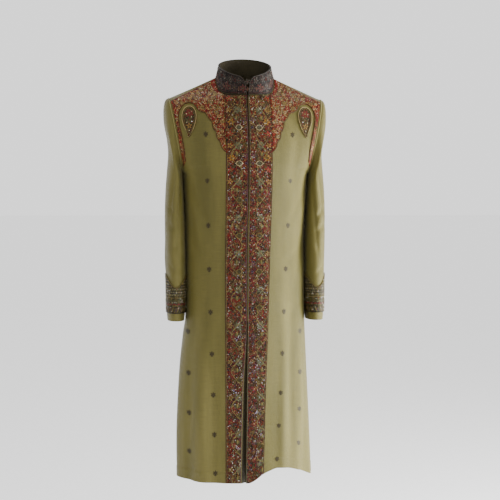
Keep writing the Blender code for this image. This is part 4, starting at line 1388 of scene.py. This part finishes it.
def band_stitching(name):
    """Two wandering stems with leaves, and in each repeat an eye, flowers and a leaf fan."""
    threads, sequins = Stitching(), Stitching()
    outline = band_outline(name)
    mirror = 1 if name == "left" else -1

    def on_band(x, z):
        inner, outer = band_limits(name, z)
        return (x > inner + 0.002) & (x < outer - 0.002)

    def between(low, high):
        def kept(x, z):
            from_low = z - low[0] + chance.normal(0, low[1], len(z))
            from_high = high[0] - z + chance.normal(0, high[1], len(z))
            return on_band(x, z) & (from_low > 0) & (from_high > 0)
        return kept

    foot, low = (HEM - 1, 0.001), (LOW_BAND, LOW_BAND_BLEND)
    high, head = (TOP_BAND, TOP_BAND_BLEND), (1, 0.001)
    for palette, zone in (
        (LOW_BAND_PALETTE, between(foot, low)),
        (BAND_PALETTE, between(low, high)),
        (TOP_BAND_PALETTE, between(high, head)),
    ):
        fill_stitches(threads, (-0.014, HEM), (0.066, -0.05), 4.6e-6, palette, margin=zone)
    heights = np.arange(HEM, -0.052, 0.0022)
    below_yoke = heights[heights < YOKE_EDGE["height"][0]]
    curls(threads, *scatter((0, HEM), (0.062, -0.05), 520), LOW_CURL_PALETTE, on_band)
    for phase, colour in ((0.0, OLIVE), (math.pi, KHAKI_GOLD)):
        swing = STEM_SWING * np.sin(2 * math.pi * heights / BAND_REPEAT + phase)
        threads.cord(pairs(STEM_X + swing, heights), 0.0015, 0.0012, colour)
        spots = np.arange(HEM, -0.052, 0.0120)
        lean = np.sin(2 * math.pi * spots / BAND_REPEAT + phase)
        slope = STEM_SWING * 2 * math.pi / BAND_REPEAT * np.cos(2 * math.pi * spots / BAND_REPEAT + phase)
        turn = math.pi / 2 - np.arctan(slope)
        for way in (-1, 1):
            x = STEM_X + STEM_SWING * lean + way * LEAF_FROM_STEM * np.sin(turn)
            threads.stamp(LEAF, x, spots + 0.003, turn - way * 0.75, 0.0042, 0.0017, 0.0011,
                          BROWN if way > 0 else colour)
    for k in range(EYES):
        z = FIRST_EYE - k * BAND_REPEAT
        wide = 0.0082 if k % 2 else 0.0090
        bright = k <= BRIGHT_EYES
        outline_colour = CREAM if bright else KHAKI_GOLD
        threads.stamp(DISC, EYE_X, z, 0, wide, 0.0080, 0.0012, GREY_GREEN if bright else OLIVE)
        threads.stamp(THIN_RING, EYE_X, z, 0, wide, 0.0078, 0.0019, outline_colour)
        threads.stamp(RING, EYE_X, z, 0, 0.0052, 0.0044, 0.0017, BROWN)
        threads.stamp(DISC, EYE_X, z, 0, 0.0026, 0.0024, 0.0018, DARK_BROWN)
        for way in (-1, 1):
            threads.stamp(LEAF, EYE_X + way * wide, z, 0, 0.0026, 0.0016, 0.0013, outline_colour)
        for x, up, size, petals, top_colour, low_colour, heart, turn in BAND_FLOWERS:
            flower(threads, x, z + up, size, petals, top_colour if bright else low_colour, heart, turn)
        for i, turn in enumerate((-0.62, 0.0, 0.62)):
            threads.stamp(LEAF, 0.0330 + 0.0052 * math.sin(turn), z - 0.0720 + 0.0016 * (1 - abs(turn)),
                          math.pi / 2 - turn, 0.0072, 0.0027, 0.0014, KHAKI_GOLD if i == 1 else OLIVE)
        threads.stamp(RING, 0.0085, z, 0, 0.0034, 0.0034, 0.0014, BLUE_GREY)
        threads.stamp(RING, 0.0085, z - 0.0480, 0, 0.0032, 0.0032, 0.0014, KHAKI_GOLD)
    outer = band_limits(name, below_yoke)[1]
    threads.cord(pairs(outer - 0.0010, below_yoke), 0.0013, 0.0012, BROWN)
    threads.cord(pairs(outer - 0.0034, below_yoke), 0.0010, 0.0010, KHAKI_GOLD)
    inner = band_limits(name, heights)[0]
    inner_colour = MAUVE if mirror < 0 else GREY_GREEN
    threads.cord(pairs(inner + 0.0012, heights), 0.0012, 0.0012, inner_colour)
    count = 260
    places = chance.uniform(HEM, -0.06, count)
    sides = chance.uniform(0.0, 0.060, count)
    tint = pick(SEQUIN_PALETTE, count)
    sequins.stamp(DISC, sides, places, chance.uniform(0, 3, count), 0.0010, 0.0010, 0.0019, tint)
    for x, z in BEAD_CLUSTERS:
        around = chance.normal(0, 0.0056, (16, 2))
        spots = np.array((x, z + 0.012 * mirror)) + around
        tint = pick(BEAD_PALETTE, len(spots))
        sequins.stamp(DISC, spots[:, 0], spots[:, 1], 0, 0.0009, 0.0009, 0.0018, tint)
    return threads, sequins, outline


def yoke_stitching():
    """Flowers and curls over red cloth, inside cords that follow the scalloped edge."""
    threads, sequins = Stitching(), Stitching()
    outline = yoke_outline()
    low, high = outline.min(0), outline.max(0)

    def margin(space):
        return lambda x, z: inside_outline(x, z, outline) & (outline_distance(x, z, outline) > space)

    def near_neck(x, z):
        return np.hypot(x - NECK_HALF_WIDTH, z + 0.012) < 0.042

    def beside_collar(x, z):
        return (outline_distance(x, z, collar_side) < RED_STRIP) & (x > NECK_HALF_WIDTH - 0.008)

    def plain_red(x, z):
        return margin(0.0014)(x, z) & beside_collar(x, z)

    def dull(x, z):
        return margin(0.0014)(x, z) & near_neck(x, z) & ~beside_collar(x, z)

    def bright(x, z):
        return margin(0.0014)(x, z) & ~near_neck(x, z) & ~beside_collar(x, z)

    collar_side = neckline_from_front(90, 40)
    fill_stitches(threads, low, high, 3.0e-6, ((1.0, RED), (0.5, BRIGHT_RED)), margin=plain_red)
    fill_stitches(threads, low, high, 3.4e-6, DULL_PALETTE, margin=dull)
    fill_stitches(threads, low, high, 3.4e-6, YOKE_PALETTE, margin=bright)
    pitch = 0.0150
    rows = np.arange(low[1], high[1], pitch * 0.87)
    for number, z in enumerate(rows):
        x = np.arange(low[0] + (number % 2) * pitch / 2, high[0], pitch)
        x = x[margin(0.0050)(x, np.full(x.shape, z)) & ~beside_collar(x, np.full(x.shape, z))]
        if not len(x):
            continue
        for i, place in enumerate(x):
            if (i + number) % 3 == 0:
                flower(threads, place, z, 0.0070, 6, KHAKI_GOLD, DARK_BROWN, 0.3 * number)
            elif (i + number) % 3 == 1:
                threads.stamp(RING, place, z, 0, 0.0038, 0.0035, 0.0014, PALE_GOLD)
                threads.stamp(DISC, place, z, 0, 0.0024, 0.0024, 0.0013, RED)
            else:
                flower(threads, place, z, 0.0070, 5, RED, PALE_GOLD, 0.5 * i)
            for way in (-1, 1):
                threads.stamp(LEAF, place + way * 0.0072, z + 0.0022 * way, 1.1 * way, 0.0040, 0.0015,
                              0.0011, OLIVE if i % 2 else BROWN)
    curls(threads, *scatter(low, high, 300), CURL_PALETTE,
          lambda x, z: margin(0.0042)(x, z) & ~beside_collar(x, z))
    edge = outline[:len(outline) - NECKLINE_POINTS - 2]
    run = np.gradient(edge, axis=0)
    inwards = unit(pairs(-run[:, 1], run[:, 0]))
    for inset, width, colour in ((0.0008, 0.0013, BROWN), (0.0026, 0.0009, KHAKI_GOLD)):
        line = edge + inwards * inset
        kept = outline_distance(line[:, 0], line[:, 1], outline) > 0.6 * inset
        for group in np.split(np.arange(len(line)), np.flatnonzero(~kept)):
            group = group[kept[group]]
            if len(group) > 2:
                threads.cord(line[group], width, 0.0012, colour)
    x, z = scatter(low, high, 700)
    kept = margin(0.003)(x, z)
    tint = pick(YOKE_SEQUIN_PALETTE, int(kept.sum()))
    sequins.stamp(DISC, x[kept], z[kept], 0, 0.0009, 0.0009, 0.0019, tint)
    return threads, sequins, outline


def paisley_stitching():
    """Three cords round the edge, three flowers down the middle and a ring of leaves."""
    threads, sequins = Stitching(), Stitching()
    outline = divided(paisley_outline(), 0.0015)
    low, high = outline.min(0), outline.max(0)
    fill_stitches(threads, low, high, 3.0e-6, PAISLEY_PALETTE)
    centre = np.array((0.157, -0.112))
    for inset, width, colour in (
        (0.0010, 0.0020, PALE_GOLD),
        (0.0030, 0.0014, DARK_BROWN),
        (0.0050, 0.0010, KHAKI_GOLD),
    ):
        reach = np.linalg.norm(outline - centre, axis=1, keepdims=True)
        line = outline - (outline - centre) / reach * inset
        threads.cord(line, width, 0.0016, colour, closed=True)
    flower(threads, 0.1568, -0.1020, 0.0125, 7, RUST, KHAKI_GOLD)
    flower(threads, 0.1570, -0.1210, 0.0105, 6, OLIVE, RUST, 0.3)
    flower(threads, 0.1570, -0.1370, 0.0082, 5, GOLD_THREAD, DARK_BROWN, 0.2)
    for i in range(7):
        turn = 2 * math.pi * i / 7
        threads.stamp(LEAF, 0.1568 + 0.0128 * math.cos(turn), -0.1060 + 0.0140 * math.sin(turn),
                      turn + math.pi / 2, 0.0034, 0.0015, 0.0012, OLIVE)
    sequins.stamp(DISC, 0.1500, -0.1250, 0, 0.0015, 0.0015, 0.0026, linear(244, 240, 230))
    spots = np.array([(0.150, -0.098), (0.164, -0.104), (0.157, -0.149), (0.163, -0.127), (0.151, -0.113)])
    sequins.stamp(DISC, spots[:, 0], spots[:, 1], 0, 0.0012, 0.0012, 0.0020, linear(230, 214, 170))
    return threads, sequins, outline


COLLAR_GREY = linear(44, 38, 30)
COLLAR_BROWN = linear(40, 25, 18)
COLLAR_RUST = linear(58, 20, 10)
COLLAR_PALETTE = (
    (0.52, linear(16, 11, 8)), (0.32, DARK_BROWN), (0.06, COLLAR_BROWN), (0.06, COLLAR_RUST),
    (0.04, COLLAR_GREY),
)


def collar_stitching():
    """Dark stitches with small flowers and rings, and cords along the edges."""
    threads, sequins = Stitching(), Stitching()
    girth = COLLAR_GIRTH_RADIUS * 2 * math.pi

    def on_collar(x, z):
        degrees = np.degrees(x / COLLAR_GIRTH_RADIUS)
        edge = collar_start(np.clip(z / COLLAR_HEIGHT, 0, 1)) + 1.6
        return (degrees > edge) & (degrees < 360 - edge)

    corner = (girth, COLLAR_HEIGHT - 0.002)
    fill_stitches(threads, (0, 0.002), corner, 4.4e-6, COLLAR_PALETTE, margin=on_collar)
    motifs = 20
    for i in range(motifs):
        x = girth * (i + 0.5) / motifs
        flower(threads, x, 0.0170, 0.0105, 6, COLLAR_RUST if i % 2 else COLLAR_BROWN, OLIVE, 0.2 * i)
        flower(threads, x + girth / motifs / 2, 0.0340, 0.0082, 5, COLLAR_GREY, COLLAR_RUST, 0.3 * i)
        threads.stamp(RING, x, 0.0330, 0, 0.0040, 0.0040, 0.0014, COLLAR_GREY if i % 2 else COLLAR_RUST)
        threads.stamp(LEAF, x + girth / motifs / 2, 0.0150, math.pi / 2, 0.0066, 0.0026, 0.0012, BROWN)
    for height, width, colour in ((0.0016, 0.0014, OLIVE), (0.0052, 0.0010, COLLAR_RUST)):
        x = np.linspace(0.003, girth - 0.003, 260)
        threads.cord(pairs(x, height), width, 0.0014, colour)
    rises = np.concatenate([np.linspace(0.04, 0.6, 10), 0.6 + 0.4 * np.sin(np.linspace(0.08, 1.5, 16))])
    edge = np.radians(collar_start(rises)) * COLLAR_GIRTH_RADIUS + 0.0012
    side_line = pairs(edge, rises * COLLAR_HEIGHT - 0.0010)
    x = np.linspace(edge[-1] + 0.001, girth / 2, 130)
    top_line = pairs(x, COLLAR_HEIGHT - 0.0010)
    whole = np.concatenate([side_line, top_line])
    back = whole[::-1].copy()
    back[:, 0] = girth - back[:, 0]
    threads.cord(np.concatenate([whole, back[1:]]), 0.0016, 0.0014, COLLAR_GREY)
    x, z = scatter((0, 0.004), (girth, COLLAR_HEIGHT - 0.004), 110)
    kept = on_collar(x, z)
    sequins.stamp(DISC, x[kept], z[kept], 0, 0.0008, 0.0008, 0.0018, linear(160, 148, 132))
    return threads, sequins


CUFF_PALETTE = (
    (0.22, linear(46, 42, 22)), (0.10, DARK_BROWN), (0.22, OLIVE), (0.06, MAUVE),
    (0.04, RUST), (0.22, GREY_GREEN), (0.14, KHAKI_GOLD),
)


def cuff_top(across):
    """Height of the cuff's upper edge, which arches at the outer and inner side."""
    angle = across / SLEEVE_GIRTH_RADIUS
    return CUFF_TOP + CUFF_ARCH * np.abs(np.cos(angle)) ** CUFF_ARCH_POWER


def cuff_stitching():
    """Stripes, a row of leaves, and a dotted field under the arched upper edge."""
    threads, sequins = Stitching(), Stitching()
    girth = 2 * math.pi * SLEEVE_GIRTH_RADIUS

    def field(x, z):
        return z < cuff_top(x) - 0.003

    corner = (girth, CUFF_TOP + CUFF_ARCH)
    fill_stitches(threads, (0, CUFF_BOTTOM + 0.001), corner, 7.5e-6, CUFF_PALETTE, margin=field)
    x = np.linspace(0, girth, 181)[:-1]
    base = CUFF_BOTTOM
    for up, width, colour in (
        (0.0015, 0.0018, DARK_BROWN),
        (0.0180, 0.0015, DARK_BROWN),
        (0.0430, 0.0012, KHAKI_GOLD),
    ):
        threads.cord(pairs(x, base + up), width, 0.0014, colour)
    threads.cord(pairs(x, cuff_top(x) - 0.0014), 0.0014, 0.0013, KHAKI_GOLD)
    stripes = 56
    spots = girth * np.arange(stripes) / stripes
    colours = np.array([DARK_BROWN, OLIVE, MAUVE, KHAKI_GOLD])[np.arange(stripes) % 4]
    threads.stamp(LEAF, spots, base + 0.0097, 1.05, 0.0082, 0.0014, 0.0011, colours)
    leaves = 18
    spots = girth * (np.arange(leaves) + 0.5) / leaves
    for way in (-1, 1):
        threads.stamp(LEAF, spots + way * 0.0034, base + 0.0330, math.pi / 2 - way * 0.6,
                      0.0078, 0.0028, 0.0013, OLIVE)
        threads.stamp(LEAF, spots + way * 0.0050, base + 0.0255, math.pi / 2 - way * 1.1,
                      0.0052, 0.0020, 0.0012, RUST)
    flower(threads, spots, np.full(leaves, base + 0.0300), 0.0070, 5, DARK_BROWN, CREAM)
    dots = 30
    for row in range(8):
        spots = girth * (np.arange(dots) + 0.5 * (row % 2)) / dots
        heights = np.full(dots, base + 0.0505 + 0.0075 * row)
        kept = heights < cuff_top(spots) - 0.0050
        if kept.any():
            colour = DARK_BROWN if row % 2 else OLIVE
            flower(threads, spots[kept], heights[kept], 0.0056, 4, colour, CREAM, 0.78)
    x, z = scatter((0, CUFF_BOTTOM + 0.003), corner, 120)
    kept = z < cuff_top(x) - 0.004
    sequins.stamp(DISC, x[kept], z[kept], 0, 0.0011, 0.0011, 0.0019, linear(226, 222, 210))
    return threads, sequins


# Small flowers on the silk, in columns: their x at the chest and at the hem, and the first
# and last step down; columns that start at a half step lie between the others
BUTTI_COLUMNS = table(
    "side face chest_x hem_x first last",
    (-1, -1, -0.114, -0.092, 0.0, 8.0),
    (-1, -1, -0.158, -0.163, 4.5, 7.5),
    (1, -1, 0.120, 0.072, 0.0, 8.0),
    (1, -1, 0.156, 0.134, 4.5, 7.5),
    (1, 1, 0.038, 0.040, 0.0, 8.0),
    (1, 1, 0.088, 0.092, 0.5, 7.5),
    (1, 1, 0.140, 0.148, 4.0, 8.0),
    (-1, 1, -0.038, -0.040, 0.0, 8.0),
    (-1, 1, -0.088, -0.092, 0.5, 7.5),
    (-1, 1, -0.140, -0.148, 4.0, 8.0),
)
BUTTI_TOP = -0.161


def butti_height(step):
    """The pitch between flowers shrinks a little on the way down."""
    return BUTTI_TOP - 0.1245 * step + 0.0014 * step**2


def butti_places(side, face):
    places = []
    for row_side, row_face, chest_x, hem_x, first, last in zip(*BUTTI_COLUMNS.values()):
        if row_side == side and row_face == face:
            steps = np.arange(first, last + 0.1)
            heights = butti_height(steps)
            share = (heights - BUTTI_TOP) / (HEM - BUTTI_TOP)
            places.append(pairs(np.abs(blend(chest_x, hem_x, share)), heights))
    return np.concatenate(places)


def butti_stitching(side, face):
    """A small flower, its stem and two leaves at each place."""
    work = Stitching()
    for x, z in butti_places(side, face):
        flower(work, x, z + 0.0020, 0.0070, 6, BUTTI, BUTTI, math.pi / 2, 0.0008)
        work.stamp(LEAF, x, z - 0.0046, math.pi / 2, 0.0030, 0.0007, 0.0007, BUTTI)
        for way in (-1, 1):
            turn = math.pi / 2 - way * 0.9
            work.stamp(LEAF, x + way * 0.0021, z - 0.0040, turn, 0.0022, 0.0009, 0.0007, BUTTI)
    return work


def lay_on_back(side):
    """Lays flat points, as x outwards and height, on a back."""
    def lay(x, height, above):
        skirt_width = half_width(side, np.minimum(height, UNDERARM))
        share = np.clip((height - UNDERARM) / (NECK_BACK - UNDERARM), 0, 1) * CENTRE_SHARE
        chest_width = armhole(1, share)[..., 0]
        turn = turn_at(x / np.where(height <= UNDERARM, skirt_width, chest_width))
        up = np.where(height <= UNDERARM, (height - UNDERARM) / SKIRT_LENGTH, share)
        points, normals = surface(side, 1, turn, up)
        return points + normals * np.asarray(above)[..., None]
    return lay


def piping(name, line, radius, material):
    """A round cord along a closed or open line of points."""
    curve = bpy.data.curves.new(name, "CURVE")
    curve.dimensions = "3D"
    curve.bevel_depth = radius
    curve.bevel_resolution = 3
    spline = curve.splines.new("POLY")
    spline.points.add(len(line) - 1)
    spline.points.foreach_set("co", np.concatenate([line, np.ones((len(line), 1))], axis=1).ravel())
    spline.use_smooth = True
    guide = placed(name + "_line", curve)
    bpy.context.view_layer.update()
    mesh = bpy.data.meshes.new_from_object(guide.evaluated_get(bpy.context.evaluated_depsgraph_get()))
    bpy.data.objects.remove(guide)
    mesh.materials.clear()
    mesh.materials.append(material)
    mesh.shade_smooth()
    return placed(name, mesh)


def build_materials():
    return {
        "silk": silk_material("silk", SILK_SHADES),
        # The lining is painted shade, a darker copy of the silk
        "painted_shade_lining": silk_material("painted_shade_lining", PAINTED_SHADE_LINING_COLOURS, 0.6),
        "piping": silk_material("piping", PIPING_SHADES, 0.5),
        "edging": silk_material("edging", (BROWN, KHAKI_GOLD, GREY_GREEN), 0.5),
        "band": ground_material("band_ground", BAND_GROUND, 0.0027),
        "yoke": ground_material("yoke_ground", YOKE_PALETTE, 0.0026),
        "paisley": ground_material("paisley_ground", PAISLEY_GROUND, 0.0025),
        "collar": ground_material("collar_ground", COLLAR_PALETTE, 0.0026),
        "cuff": ground_material("cuff_ground", CUFF_PALETTE, 0.0026),
        "thread": thread_material("thread"),
        "sequin": sequin_material("sequin"),
    }


# Threads start just inside the applied cloth, and the cuffs lie a little above the sleeves
THREAD_FOOT = APPLIQUE * 0.95
CUFF_ABOVE = 2 * GAP


def add_stitching(name, lay, above, threads, sequins, materials, outline=None):
    pieces = [threads.laid(name + "_threads", lay, above, materials["thread"], outline)]
    if sequins is not None:
        pieces.append(sequins.laid(name + "_sequins", lay, above, materials["sequin"], outline))
    return [finish_piece(piece) for piece in pieces]


def build_panels(materials):
    ups = row_ups()[:, None]
    turns = {
        ("front", 1): left_front_turns(row_ups()),
        ("front", -1): right_front_turns(row_ups()),
    }
    back_turns = np.broadcast_to(np.linspace(0, 90, PANEL_COLUMNS + 1), (len(ups), PANEL_COLUMNS + 1))
    for part, face in (("front", -1), ("back", 1)):
        for name, side in (("left", 1), ("right", -1)):
            node = f"{part}_{name}"
            panel_turns = turns.get((part, side), back_turns)
            grid_ups = np.broadcast_to(ups, panel_turns.shape)
            # The underlap's outside takes the dark lining: a painted shadow of the upper front
            hidden = UNDERLAP_COLUMNS - 1 if node == "front_right" else 0
            made = panel_shell(node + "_cloth", side, face, panel_turns, grid_ups,
                               materials["silk"], materials["painted_shade_lining"], hidden)
            finish_piece(made, node)
            lay = lay_on_front(side) if face < 0 else lay_on_back(side)
            flowers = butti_stitching(side, face)
            stitched = add_stitching(node + "_flowers", lay, 0.0001, flowers, None, materials)


def build_trim(materials):
    above = GAP
    top = GAP + THREAD_FOOT
    for name, side in (("left", 1), ("right", -1)):
        lay = lay_on_front(side)
        for kind, slot, stitching, spacing, flat, area in (
            ("band", "band_embroidery", lambda: band_stitching(name), 0.0040, (0.066, 1.04), 0.0595),
            ("yoke", "yoke_embroidery", yoke_stitching, 0.0032, (0.16, 0.25), 0.0160),
            ("paisley", "paisley_embroidery", paisley_stitching, 0.0022, (0.040, 0.085), 0.00245),
        ):
            threads, sequins, outline = stitching()
            node = f"{kind}_{name}"
            made = patch(node + "_cloth", outline, spacing, lay, above, APPLIQUE, materials[kind])
            finish_piece(made, node)
            stitched = add_stitching(node, lay, top, threads, sequins, materials, outline)


def build_sleeves(materials):
    for name, side in (("left", 1), ("right", -1)):
        along = blend(0, SLEEVE_SECTIONS, np.linspace(0, 1, SLEEVE_ROWS + 1))[:, None]
        angle = (360 * np.arange(SLEEVE_COLUMNS) / SLEEVE_COLUMNS)[None, :]
        points, normals = sleeve_surface(side, angle, along)
        made = shell(f"sleeve_{name}_cloth", points, points - normals * CLOTH, materials["silk"],
                     joined=True, flipped=side > 0, painted_shade_lining=materials["painted_shade_lining"])
        finish_piece(made, f"sleeve_{name}")

        across = (2 * math.pi * SLEEVE_GIRTH_RADIUS * np.arange(CUFF_COLUMNS) / CUFF_COLUMNS)[None, :]
        share = np.linspace(0, 1, CUFF_ROWS + 1)[:, None]
        heights = blend(CUFF_BOTTOM, cuff_top(across), share)
        lay = lay_on_sleeve(side)
        across = np.broadcast_to(across, heights.shape)
        edge = np.minimum(share, 1 - share) * 0.1
        crown = CUFF_ABOVE + APPLIQUE * (0.6 + 0.4 * np.clip(edge / 0.004, 0, 1))
        outer = lay(across, heights, np.broadcast_to(crown, heights.shape))
        inner = lay(across, heights, np.full(heights.shape, CUFF_ABOVE))
        made = shell(f"cuff_{name}_cloth", outer, inner, materials["cuff"], joined=True, flipped=side < 0)
        finish_piece(made, f"cuff_{name}")
        threads, sequins = cuff_stitching()
        stitched = add_stitching(f"cuff_{name}", lay, CUFF_ABOVE + THREAD_FOOT,
                                 threads, sequins, materials)


def build_collar(materials):
    share = np.linspace(0, 1, COLLAR_ROWS + 1)
    rise = blend(COLLAR_FOOT, 1, 1 - (1 - share) ** COLLAR_ROW_CROWDING)[:, None]
    start = collar_start(np.maximum(rise, 0))
    angle = blend(start, 360 - start, np.linspace(0, 1, COLLAR_COLUMNS + 1)[None, :])
    outer = collar_point(angle, rise, np.zeros(angle.shape))
    inner = collar_point(angle, rise, np.full(angle.shape, -COLLAR_CLOTH))
    made = shell("collar_cloth", outer, inner, materials["collar"], painted_shade_lining=materials["painted_shade_lining"])
    finish_piece(made, "collar")
    threads, sequins = collar_stitching()
    stitched = add_stitching("collar", lay_on_collar, 0.0001,
                             threads, sequins, materials)


def build_piping(materials):
    """Pale cords round the armholes and down the upper front's edge."""
    for name, side in (("left", 1), ("right", -1)):
        ups = 0.5 - 0.5 * np.cos(math.pi * np.linspace(0, 1, 90))
        line = np.concatenate([armhole(-1, ups), armhole(1, ups[::-1])])
        line = line * np.array((side, 1, 1)) + np.array((side * 0.0006, 0, 0.0))
        middle = line.mean(0)
        line = line + unit(line - middle) * 0.0006
        finish_piece(piping(f"armhole_piping_{name}", line, 0.0011, materials["piping"]))
    heights = np.linspace(-0.0600, -0.66, 160)
    edge = lap("edge", heights) - 0.0004
    line = lay_on_front(1)(edge, heights, np.full(heights.shape, 0.0008))
    finish_piece(piping("opening_piping", line, 0.0010, materials["edging"]))


# The camera, fitted to the photograph's proportions, and the floor's height
CAMERA_AZIMUTH = 6.0
CAMERA_DISTANCE = 3.0
CAMERA_HEIGHT = -0.35
CAMERA_PAN = 0.28
CAMERA_TILT = 2.35
CAMERA_LENS = 77.9
FLOOR = -1.46


def build_camera():
    lens = bpy.data.cameras.new("camera")
    lens.lens = CAMERA_LENS
    camera = placed("camera", lens)
    turn = math.radians(CAMERA_AZIMUTH)
    camera.location = (-CAMERA_DISTANCE * math.sin(turn), -CAMERA_DISTANCE * math.cos(turn), CAMERA_HEIGHT)
    camera.rotation_euler = (math.radians(90 - CAMERA_TILT), 0, -math.radians(CAMERA_AZIMUTH + CAMERA_PAN))
    bpy.context.scene.camera = camera


def add_light(name, place, target, size, power, colour):
    lamp = bpy.data.lights.new(name, "AREA")
    lamp.size = size
    lamp.energy = power
    lamp.color = colour
    made = placed(name, lamp)
    made.location = place
    made.rotation_euler = (Vector(target) - Vector(place)).to_track_quat("-Z", "Y").to_euler()


def build_studio():
    """A pale floor, a white surround, and a strong soft light from the coat's left."""
    side = 120.0
    mesh = bpy.data.meshes.new("floor")
    corners = [(x * side, y * side, FLOOR) for x, y in ((-1, -1), (1, -1), (1, 1), (-1, 1))]
    mesh.from_pydata(corners, [], [(0, 1, 2, 3)])
    floor = placed("floor", mesh)
    nodes = Nodes("pale_floor", Roughness=0.9)
    place = nodes.add("TexCoord").outputs["Object"]
    grain = nodes.noise(place, 60.0, 2)
    nodes.link(nodes.ramp(grain, ((0.3, (0.91, 0.91, 0.91)), (0.7, (0.94, 0.94, 0.94)))), "Base Color")
    mesh.materials.append(nodes.material)
    world = bpy.data.worlds.new("surround")
    bpy.context.scene.world = world
    world.use_nodes = True
    backdrop = world.node_tree.nodes["Background"]
    backdrop.inputs["Color"].default_value = (1.0, 1.0, 1.0, 1)
    backdrop.inputs["Strength"].default_value = 1.5
    add_light("key", (3.0, -0.55, 0.0), (0.05, 0, -0.60), 1.4, 175, (1.0, 0.99, 0.97))
    add_light("low", (1.6, -0.5, -1.0), (0.15, -0.05, -0.90), 0.8, 75, (0.93, 0.97, 1.0))


def main():
    materials = build_materials()
    build_panels(materials)
    build_trim(materials)
    build_sleeves(materials)
    build_collar(materials)
    build_piping(materials)
    build_camera()
    build_studio()


main()
